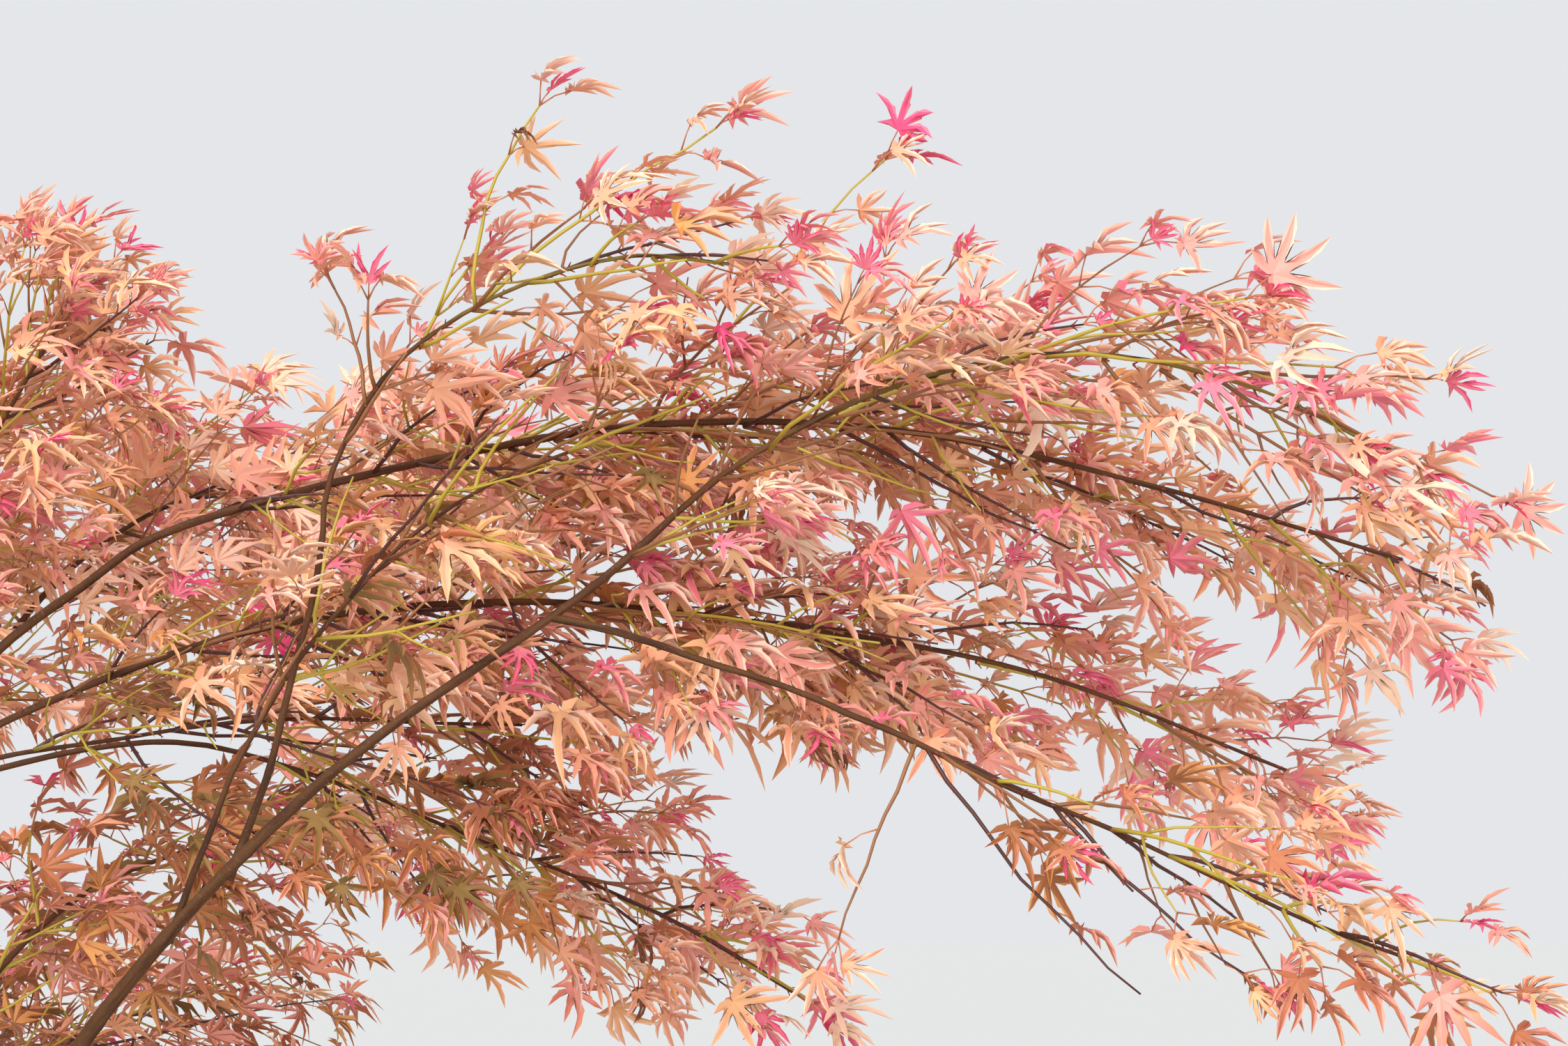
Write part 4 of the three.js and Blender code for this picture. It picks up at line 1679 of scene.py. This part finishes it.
# The corners of the small lobes by the stalk, which have no margin of their own.
SMALL_RIB = (0.5, 1.0)
SMALL_EDGE = ((0.55, 0.11),)


@dataclass
class LeafPattern:
    """The outline of a leaf as one mesh: seven lobes that meet at the heart.

    Every vertex lies at a place and an offset on a lobe, or between two lobes for a notch.
    rib_places says where a lobe's rib has its corners, edge_places its edge, and margin_places the
    line where the margin begins; an edge that steps out and in again has teeth.
    """

    rib_places: tuple[float, ...]
    margin_places: tuple[tuple[float, float], ...]
    edge_places: tuple[tuple[float, float], ...]
    lobes: list[tuple[int, int]] = field(default_factory=list)
    places: list[float] = field(default_factory=list)
    offsets: list[float] = field(default_factory=list)
    ribs: set[int] = field(default_factory=set)
    faces: list[tuple[int, int, int]] = field(default_factory=list)
    in_margin: list[bool] = field(default_factory=list)

    def add(self, lobes: tuple[int, int], place: float, offset: float) -> int:
        """Adds a vertex.

        Args:
            lobes: The lobe that it lies on, twice, or the two that it lies between.
            place: Its share of the lobe's length.
            offset: How far it lies to the side.

        Returns:
            The vertex's number.
        """
        self.lobes.append(lobes)
        self.places.append(place)
        self.offsets.append(offset)
        return len(self.places) - 1

    def draw(self) -> None:
        """Draws the whole leaf."""
        last = len(LOBES) - 1
        heart = self.add((0, 0), 0, 0)
        notches = [self.add((i, i + 1), NOTCH_PLACE, 0) for i in range(last)]
        first_notch = self.add((0, 0), HEART_NOTCH_PLACE, -HEART_NOTCH_OFFSET)
        last_notch = self.add((last, last), HEART_NOTCH_PLACE, HEART_NOTCH_OFFSET)
        for index in range(len(LOBES)):
            right = first_notch if index == 0 else notches[index - 1]
            left = last_notch if index == last else notches[index]
            self.lobe(index, index in (0, last), heart, (right, left))

    def lobe(self, index: int, small: bool, heart: int, notches: tuple[int, int]) -> None:
        """Draws one lobe: each side is an inner strip and a margin strip.

        Args:
            index: The lobe's number.
            small: True for the two by the stalk.
            heart: The vertex where all lobes meet.
            notches: The vertices at its right and its left foot.
        """
        both = (index, index)
        rib_places = SMALL_RIB if small else self.rib_places
        margin_places = () if small else self.margin_places
        edge_places = SMALL_EDGE if small else self.edge_places
        rib = [heart, *(self.add(both, place, 0) for place in rib_places)]
        tip = rib[-1]
        self.ribs.update(rib)
        for side, notch in zip((-1, 1), notches):
            line = [self.add(both, place, side * wide) for place, wide in margin_places]
            edge = [self.add(both, place, side * wide) for place, wide in edge_places]
            edge = [notch, *edge, tip]
            inner = [notch, *line, tip] if line else edge
            self.strip(rib, inner, side, not self.margin_places and side > 0)
            if line:
                self.strip(inner, edge, side, True)

    def strip(self, inner: list[int], outer: list[int], side: int, in_margin: bool) -> None:
        """Fills the strip between two lines that run up one side of a lobe.

        Args:
            inner: The line nearer to the rib.
            outer: The other line.
            side: -1 on the right of the rib and 1 on its left.
            in_margin: True where the strip takes the colour of the edge.
        """
        i, j = 0, 0
        while i < len(inner) - 1 or j < len(outer) - 1:
            step_inner = j == len(outer) - 1 or (
                i < len(inner) - 1 and self.places[inner[i + 1]] <= self.places[outer[j + 1]]
            )
            if step_inner:
                corners = (inner[i], inner[i + 1], outer[j])
                i += 1
            else:
                corners = (inner[i], outer[j + 1], outer[j])
                j += 1
            if len(set(corners)) == 3:
                a, b, c = corners
                self.faces.append((a, b, c) if side > 0 else (a, c, b))
                self.in_margin.append(in_margin)


def toothed_leaf() -> LeafPattern:
    """A leaf for the masses that the photograph shows, with a margin and two teeth a side.

    Returns:
        The drawn pattern.
    """
    pattern = LeafPattern(
        rib_places=(0.48, 1.0),
        margin_places=((0.58, 0.044),),
        edge_places=((0.35, 0.050), (0.52, 0.092), (0.57, 0.068), (0.74, 0.062)),
    )
    pattern.draw()
    return pattern


def plain_leaf() -> LeafPattern:
    """A leaf for the rest of the crown, with smooth edges.

    Returns:
        The drawn pattern.
    """
    pattern = LeafPattern(
        rib_places=(0.52, 1.0),
        margin_places=(),
        edge_places=((0.50, 0.088),),
    )
    pattern.draw()
    return pattern


@dataclass
class LeafPiece:
    """Many leaves joined into one mesh, each bent by its own droop, spread and fold.

    The fields from angle_spread to curl_spread say how far one lobe differs from the next, and
    shut_width how wide a lobe stays when its fan is shut.
    """

    name: str
    leaves: list[Leaf]
    pattern: LeafPattern
    seed: int
    angle_spread: float = 0.05
    size_range: tuple[float, float] = (0.8, 1.1)
    lift_spread: float = 0.16
    curl_spread: float = 0.16
    shut_width: float = 0.6
    least_radius: float = 1e-6

    def build(self, tissues: Iterable[bpy.types.Material]) -> bpy.types.Object:
        """Builds the mesh and deals the tints out to its faces.

        Args:
            tissues: The leaf materials in the order of the tints.

        Returns:
            The finished piece.
        """
        places = self.vertices()
        faces = np.array(self.pattern.faces)
        count, each = len(self.leaves), places.shape[1]
        corners = (faces[None] + (np.arange(count) * each)[:, None, None]).reshape(-1, 3)
        in_margin = np.array(self.pattern.in_margin)
        outer = np.array([leaf.outer.value for leaf in self.leaves])[:, None]
        inner = np.array([leaf.inner.value for leaf in self.leaves])[:, None]
        slots = np.where(in_margin[None], outer, inner).ravel()
        piece = mesh_from_arrays(self.name, places.reshape(-1, 3), corners, slots, tissues)
        self.crease(piece.data)
        return piece

    def crease(self, mesh: bpy.types.Mesh) -> None:
        """Marks every rib as a sharp fold.

        Args:
            mesh: The piece's mesh.
        """
        each = len(self.pattern.places)
        on_rib = np.isin(np.arange(each), list(self.pattern.ribs))
        ends = np.empty(len(mesh.edges) * 2, dtype=np.int32)
        mesh.edges.foreach_get("vertices", ends)
        sharp = on_rib[ends.reshape(-1, 2) % each].all(axis=1)
        mesh.attributes.new("sharp_edge", "BOOLEAN", "EDGE").data.foreach_set("value", sharp)

    def vertices(self) -> np.ndarray:
        """The corners of every leaf, one block of rows for each leaf.

        Returns:
            Leaf, corner and coordinate.
        """
        flat_x, flat_y, lift = self.flat_blades()
        radius = np.maximum(np.hypot(flat_x, flat_y), self.least_radius)
        droop = self.column("droop")
        bent = np.sin(droop * radius) / droop / radius
        height = -(1 - np.cos(droop * radius)) / droop
        height = height + lift * radius + self.column("fold") * np.abs(self.pattern.offsets)
        local = np.stack([flat_x * bent, flat_y * bent, height], axis=2)
        local = local * self.column("reach")[:, :, None]
        axis = np.array([leaf.axis for leaf in self.leaves])
        normal = np.array([leaf.normal for leaf in self.leaves])
        frame = np.stack([axis, np.cross(normal, axis), normal], axis=1)
        heart = np.array([leaf.heart for leaf in self.leaves])
        return np.einsum("nvk,nkx->nvx", local, frame) + heart[:, None]

    def flat_blades(self) -> tuple[np.ndarray, np.ndarray, np.ndarray]:
        """The corners of every leaf before it bends, for a reach of one.

        Returns:
            How far each corner lies along the leaf and across it, and how much it will lift.
        """
        random = np.random.default_rng(self.seed)
        shape = (len(self.leaves), len(LOBES))
        angles, sizes = np.array(LOBES).T
        spread = self.column("spread")
        angles = np.radians(angles)[None] * spread + random.normal(0, self.angle_spread, shape)
        lengths = sizes[None] * random.uniform(*self.size_range, shape)
        lifts = random.normal(0, self.lift_spread, shape)
        curls = random.normal(0, self.curl_spread, shape)
        places = np.array(self.pattern.places)
        offsets = np.array(self.pattern.offsets)
        length = self.between(lengths)
        angle = self.between(angles) + self.between(curls) * places**2
        along = places * length
        width = self.shut_width + (1 - self.shut_width) * spread
        across = offsets * np.sqrt(length) * width
        flat_x = along * np.cos(angle) - across * np.sin(angle)
        flat_y = along * np.sin(angle) + across * np.cos(angle)
        return flat_x, flat_y, self.between(lifts)

    def between(self, values: np.ndarray) -> np.ndarray:
        """The value of every corner, midway between those of the two lobes that it lies on."""
        first, second = np.array(self.pattern.lobes).T
        return (values[:, first] + values[:, second]) / 2

    def column(self, name: str) -> np.ndarray:
        """One number of every leaf, as a column."""
        return np.array([getattr(leaf, name) for leaf in self.leaves])[:, None]


@dataclass
class TwigPiece:
    """The thin wood of several masses joined into one mesh: shoots, buds and leaf stalks."""

    name: str
    twigs: list[Twig]
    leaves: list[Leaf]
    sides: int = 5
    thin_sides: int = 3
    stalk_arch: float = 0.08
    stalk_radii: tuple[float, float, float] = (0.0009, 0.0006, 0.0007)

    def build(self, skins: Iterable[bpy.types.Material]) -> bpy.types.Object:
        """Builds the mesh.

        Args:
            skins: The twig materials in the order of the ages.

        Returns:
            The finished piece.
        """
        blocks = []
        by_count: dict[int, list[Twig]] = {}
        for twig in self.twigs:
            by_count.setdefault(len(twig.points), []).append(twig)
        for count, twigs in sorted(by_count.items()):
            points = np.array([twig.points for twig in twigs])
            radii = np.array([np.linspace(*twig.radii, count) for twig in twigs])
            ages = np.array([twig.age.value for twig in twigs])
            sides = self.thin_sides if count == BUD_POINTS else self.sides
            blocks.append(tubes(points, radii, sides, ages))
        blocks.append(self.stalks())
        return join_blocks(self.name, blocks, skins)

    def stalks(self) -> tuple[np.ndarray, np.ndarray, np.ndarray]:
        """The leaf stalks, each a thin run that arches from the node to the leaf's heart.

        Returns:
            Vertices, triangles, and the slot of each triangle.
        """
        nodes = np.array([leaf.node for leaf in self.leaves])
        hearts = np.array([leaf.heart for leaf in self.leaves])
        lengths = np.linalg.norm(hearts - nodes, axis=1)[:, None]
        middles = (nodes + hearts) / 2 + UP * lengths * self.stalk_arch
        points = np.stack([nodes, middles, hearts], axis=1)
        radii = np.tile(self.stalk_radii, (len(nodes), 1))
        return tubes(points, radii, self.thin_sides, np.full(len(nodes), Age.STALK.value))


# The upright part of a tube's first direction above which its rings start east and not upwards.
STEEP = 0.9


def tubes(
    points: np.ndarray, radii: np.ndarray, sides: int, slots: np.ndarray,
) -> tuple[np.ndarray, np.ndarray, np.ndarray]:
    """Draws many closed tubes at once.

    Args:
        points: Tube, ring and coordinate.
        radii: Tube and ring.
        sides: How many sides each has.
        slots: The material slot of each tube.

    Returns:
        Vertices, triangles, and the slot of each triangle.
    """
    count, rings = points.shape[:2]
    along = np.gradient(points, axis=1)
    along /= np.maximum(np.linalg.norm(along, axis=2, keepdims=True), TINY)
    first = along[:, :1]
    guide = np.where(np.abs(first[:, :, 2:]) > STEEP, EAST, UP)
    across = guide - along * np.sum(guide * along, axis=2, keepdims=True)
    across /= np.maximum(np.linalg.norm(across, axis=2, keepdims=True), TINY)
    other = np.cross(along, across)
    turn = 2 * np.pi * np.arange(sides) / sides
    ring = across[:, :, None] * np.cos(turn)[:, None] + other[:, :, None] * np.sin(turn)[:, None]
    vertices = points[:, :, None] + ring * radii[:, :, None, None]
    faces = []
    for level in range(rings - 1):
        for side in range(sides):
            low, high = level * sides, (level + 1) * sides
            after = (side + 1) % sides
            faces.append((low + side, low + after, high + after))
            faces.append((low + side, high + after, high + side))
    top = (rings - 1) * sides
    for side in range(1, sides - 1):
        faces.append((0, side + 1, side))
        faces.append((top, top + side, top + side + 1))
    offsets = np.arange(count) * rings * sides
    triangles = (np.array(faces)[None] + offsets[:, None, None]).reshape(-1, 3)
    return vertices.reshape(-1, 3), triangles, np.repeat(slots, len(faces))


def join_blocks(
    name: str, blocks: Sequence[tuple[np.ndarray, np.ndarray, np.ndarray]],
    materials: Iterable[bpy.types.Material],
) -> bpy.types.Object:
    """Joins blocks of vertices, triangles and slots into one mesh object.

    Args:
        name: The piece's name.
        blocks: What is joined.
        materials: The materials in slot order.

    Returns:
        The object, linked to the scene.
    """
    starts = np.cumsum([0, *(len(vertices) for vertices, _, _ in blocks)])
    return mesh_from_arrays(
        name,
        np.vstack([vertices for vertices, _, _ in blocks]),
        np.vstack([faces + start for (_, faces, _), start in zip(blocks, starts)]),
        np.concatenate([slots for _, _, slots in blocks]),
        materials,
    )


def mesh_from_arrays(
    name: str, vertices: np.ndarray, triangles: np.ndarray, slots: np.ndarray,
    materials: Iterable[bpy.types.Material],
) -> bpy.types.Object:
    """Makes a mesh object from arrays.

    Args:
        name: The piece's name.
        vertices: One row for each vertex, in metres.
        triangles: One row of corners for each face.
        slots: The material slot of each face.
        materials: The materials in slot order.

    Returns:
        The object, linked to the scene.
    """
    mesh = bpy.data.meshes.new(name)
    mesh.vertices.add(len(vertices))
    mesh.vertices.foreach_set("co", vertices.astype(np.float32).ravel())
    mesh.loops.add(triangles.size)
    mesh.loops.foreach_set("vertex_index", triangles.astype(np.int32).ravel())
    mesh.polygons.add(len(triangles))
    mesh.polygons.foreach_set("loop_start", np.arange(0, triangles.size, 3, dtype=np.int32))
    for material in materials:
        mesh.materials.append(material)
    mesh.polygons.foreach_set("material_index", slots.astype(np.int32))
    mesh.update(calc_edges=True)
    mesh.shade_smooth()
    piece = bpy.data.objects.new(name, mesh)
    bpy.context.scene.collection.objects.link(piece)
    return piece


@dataclass
class Crown:
    """All the foliage, grown mass by mass and joined by stem into leaf pieces and twig pieces.

    Spacings are that of the nodes on a mass's stem and the range of the leaves' on a shoot. A
    leaf may hang nearer to another mass's stem than to its own by up to border.
    """

    skeleton: Skeleton
    packed: Sequence[Sequence[float]]
    overhang: float = 0.005
    near_spacings: tuple[float, tuple[float, float]] = (0.039, (0.031, 0.043))
    far_spacings: tuple[float, tuple[float, float]] = (0.057, (0.040, 0.053))
    open_spacings: tuple[float, tuple[float, float]] = (0.044, (0.032, 0.044))
    far_reach: tuple[float, float] = (0.049, 0.007)
    open_bare_odds: float = 0.8
    open_bare_until: float = 0.52
    green_old_odds: float = 0.1
    border: float = 0.02
    clearance: float = 0.02
    bough_window: float = 0.015
    shoot_window: float = 0.006

    def build(self) -> list[tuple[bpy.types.Object, list[str], str]]:
        """Grows and joins the foliage.

        Returns:
            Each piece, the nodes that it stands for, and its material slot in the record.
        """
        patterns = {"near": toothed_leaf(), "far": plain_leaf()}
        tissues = [LeafTissue(tint).material() for tint in Tint]
        skins = [TwigSkin(age).material() for age in Age]
        groups: dict[str, list[tuple[Limb, Growth]]] = {}
        for index, limb in enumerate(LIMBS):
            growth = self.mass(limb, index)
            groups.setdefault(self.group_of(limb), []).append((limb, growth))
        made = []
        for number, (group, members) in enumerate(groups.items()):
            leaves = [leaf for _, growth in members for leaf in growth.leaves]
            twigs = [twig for _, growth in members for twig in growth.twigs]
            nodes = [f"{limb.name}_foliage" for limb, _ in members]
            slot = FOLIAGE_SLOTS[stem_of(members[0][0])]
            pattern = patterns[group.rsplit("_", 1)[-1]]
            blades = LeafPiece(f"{group}_leaves", leaves, pattern, SEED + number).build(tissues)
            made.append((blades, nodes, slot))
            made.append((TwigPiece(f"{group}_twigs", twigs, leaves).build(skins), nodes, "bark"))
            LOG.info("%s: %d leaves, %d twigs", group, len(leaves), len(twigs))
        return made

    @staticmethod
    def group_of(limb: Limb) -> str:
        """The group that a mass is joined in, by its stem, its height and its kind of leaf.

        Args:
            limb: The limb that carries the mass.

        Returns:
            The group's name.
        """
        hangs = "skirt" in limb.name or limb.name in HANGING_MASSES
        side = "near" if limb.name in PHOTOGRAPHED else "far"
        return f"{stem_of(limb)}_{'lower' if hangs else 'upper'}_{side}"

    def mass(self, limb: Limb, index: int) -> Growth:
        """Grows one mass, and drops the leaves that it has lost and those that are in the way.

        Args:
            limb: The limb that carries the mass.
            index: The limb's number, which seeds the mass.

        Returns:
            The wood and the leaves that stay.
        """
        grower = self.grower(limb, index)
        growth = grower.grow()
        for phase, row in enumerate(LONG_SHOOTS):
            if row.mass == limb.name:
                grower.long_shoot(row, phase)
        hearts = np.array([leaf.heart for leaf in growth.leaves])
        keep = self.has_room(hearts, limb)
        fall = np.random.default_rng([SEED, index, 1]).random(len(hearts))
        keep &= fall >= FALLEN.get(limb.name, 0)
        if limb.name in PHOTOGRAPHED:
            keep &= ~self.covers_wood(hearts, growth)
        growth.leaves = [leaf for leaf, kept in zip(growth.leaves, keep) if kept]
        return growth

    def grower(self, limb: Limb, index: int) -> SprayGrower:
        """The grower of one mass, with the habit of its kind of mass.

        Args:
            limb: The limb that carries the mass.
            index: The limb's number, which seeds the mass.

        Returns:
            The grower.
        """
        near = limb.name in PHOTOGRAPHED
        spine = self.skeleton.spines[limb.name][1:]
        spacings = self.near_spacings if near else self.far_spacings
        grower = SprayGrower(limb, spine, np.random.default_rng([SEED, index]), *spacings)
        grower.open_odds = OPEN_ODDS.get(limb.name, grower.open_odds)
        if not near:
            grower.leaf_reach = self.far_reach
            grower.has_buds = False
        if limb.name in GREEN_TIPPED:
            grower.old_odds = self.green_old_odds
        if limb.name in OPEN_MASSES:
            grower.bare_odds = self.open_bare_odds
            grower.bare_until = self.open_bare_until
            grower.node_spacing, grower.leaf_spacing = self.open_spacings
        return grower

    def has_room(self, hearts: np.ndarray, limb: Limb) -> np.ndarray:
        """Which leaves of a mass hang in its own space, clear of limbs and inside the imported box.

        The heart of a leaf may hang out of the box by overhang.

        Args:
            hearts: The heart of each leaf.
            limb: The limb that carries the mass.

        Returns:
            True for each leaf that does.
        """
        paths = {name: path[1:] for name, path in self.skeleton.spines.items()}
        own = distances_to_path(hearts, paths.pop(limb.name))
        others = np.min([distances_to_path(hearts, path) for path in paths.values()], axis=0)
        limbs = self.skeleton.paths.values()
        wood = np.min([distances_to_path(hearts, path) for path in limbs], axis=0)
        low, high = np.array(self.packed)
        inside = (hearts > low - self.overhang) & (hearts < high + self.overhang)
        return (own < others + self.border) & (wood > self.clearance) & inside.all(axis=1)

    def covers_wood(self, hearts: np.ndarray, growth: Growth) -> np.ndarray:
        """Which leaves hide a bough or an old shoot that the photograph shows among the leaves.

        Args:
            hearts: The heart of each leaf.
            growth: The mass.

        Returns:
            True for each leaf that does.
        """
        covered = np.zeros(len(hearts), dtype=bool)
        for name in PHOTOGRAPHED:
            covered |= hidden_by(hearts, self.skeleton.paths[name], self.bough_window)
            window = STEM_WINDOWS.get(name, self.bough_window)
            covered |= hidden_by(hearts, self.skeleton.spines[name][1:], window)
        for twig in growth.twigs:
            if twig.age is Age.OLD:
                covered |= hidden_by(hearts, twig.points, self.shoot_window)
        return covered


@dataclass(frozen=True)
class SoftLight:
    """A broad distant light: its name, strength, softness and turn, in degrees."""

    name: str
    strength: float
    softness: float
    turn: tuple[float, float, float]


@dataclass
class Studio:
    """A pale floor, soft even light from all sides, a high key light and a level fill light."""

    floor_size: float = 300.0
    floor_colour: str = "#CECECC"
    floor_roughness: float = 0.9
    sky_colour: str = "#F4F6FA"
    sky_strength: float = 0.86
    lights: tuple[SoftLight, ...] = (
        SoftLight("studio_key", 1.9, 22.0, (50.0, 0.0, -26.0)),
        SoftLight("studio_fill", 1.95, 45.0, (84.0, 0.0, 4.0)),
    )

    def build(self) -> None:
        """Builds floor, lights and camera."""
        self.floor()
        self.sky()
        for light in self.lights:
            self.hang(light)
        self.camera()
        bpy.context.scene.view_settings.view_transform = "Standard"

    def floor(self) -> None:
        """Lays the floor."""
        deselect_all()
        bpy.ops.mesh.primitive_plane_add(size=self.floor_size, location=(0, 0, 0))
        floor = bpy.context.object
        floor.name = "studio_floor"
        paper = plain_material("studio_paper", self.floor_colour, {
            "Roughness": self.floor_roughness,
        })
        floor.data.materials.append(paper)
        floor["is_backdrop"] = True

    def sky(self) -> None:
        """Sets the even light of the room."""
        world = bpy.data.worlds.new("studio_light")
        bpy.context.scene.world = world
        world.use_nodes = True
        background = world.node_tree.nodes["Background"]
        background.inputs["Color"].default_value = linear(self.sky_colour)
        background.inputs["Strength"].default_value = self.sky_strength

    @staticmethod
    def hang(light: SoftLight) -> None:
        """Hangs one light.

        Args:
            light: The light.
        """
        data = bpy.data.lights.new(light.name, "SUN")
        data.energy = light.strength
        data.angle = radians(light.softness)
        lamp = bpy.data.objects.new(light.name, data)
        lamp.rotation_euler = tuple(radians(turn) for turn in light.turn)
        bpy.context.scene.collection.objects.link(lamp)

    def camera(self) -> None:
        """Sets the camera at the photograph's viewing angle."""
        data = bpy.data.cameras.new("photo_camera")
        data.sensor_width = CAMERA_SENSOR
        data.lens = CAMERA_LENS
        camera = bpy.data.objects.new("photo_camera", data)
        camera.location = CAMERA_PLACE
        sight = Vector(CAMERA_TARGET) - Vector(CAMERA_PLACE)
        camera.rotation_euler = sight.to_track_quat("-Z", "Y").to_euler()
        bpy.context.scene.collection.objects.link(camera)
        bpy.context.scene.camera = camera


def settle(piece: bpy.types.Object, nodes: Sequence[str]) -> None:
    """Puts a piece in the frame and reports it.

    Args:
        piece: The finished piece.
        nodes: The nodes of the solids that it stands for.
    """
    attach(piece, "root")
    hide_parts(*nodes)
    LOG.info("%s stands for %s", piece.name, ", ".join(nodes))


def main() -> None:
    """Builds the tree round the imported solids."""
    logging.basicConfig(level=logging.INFO, format="%(message)s")
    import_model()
    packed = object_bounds()
    skeleton = Skeleton()
    skeleton.grow()
    bark = MapleBark().material()
    settle(TrunkBark(skeleton).build(bark), ["trunk"])
    for limb in LIMBS:
        wood = LimbBark(limb, skeleton.paths[limb.name], skeleton.spines[limb.name])
        settle(wood.build(bark), [limb.name])
    for piece, nodes, slot in Crown(skeleton, packed).build():
        settle(piece, nodes)
    Studio().build()


if __name__ == "__main__":
    main()
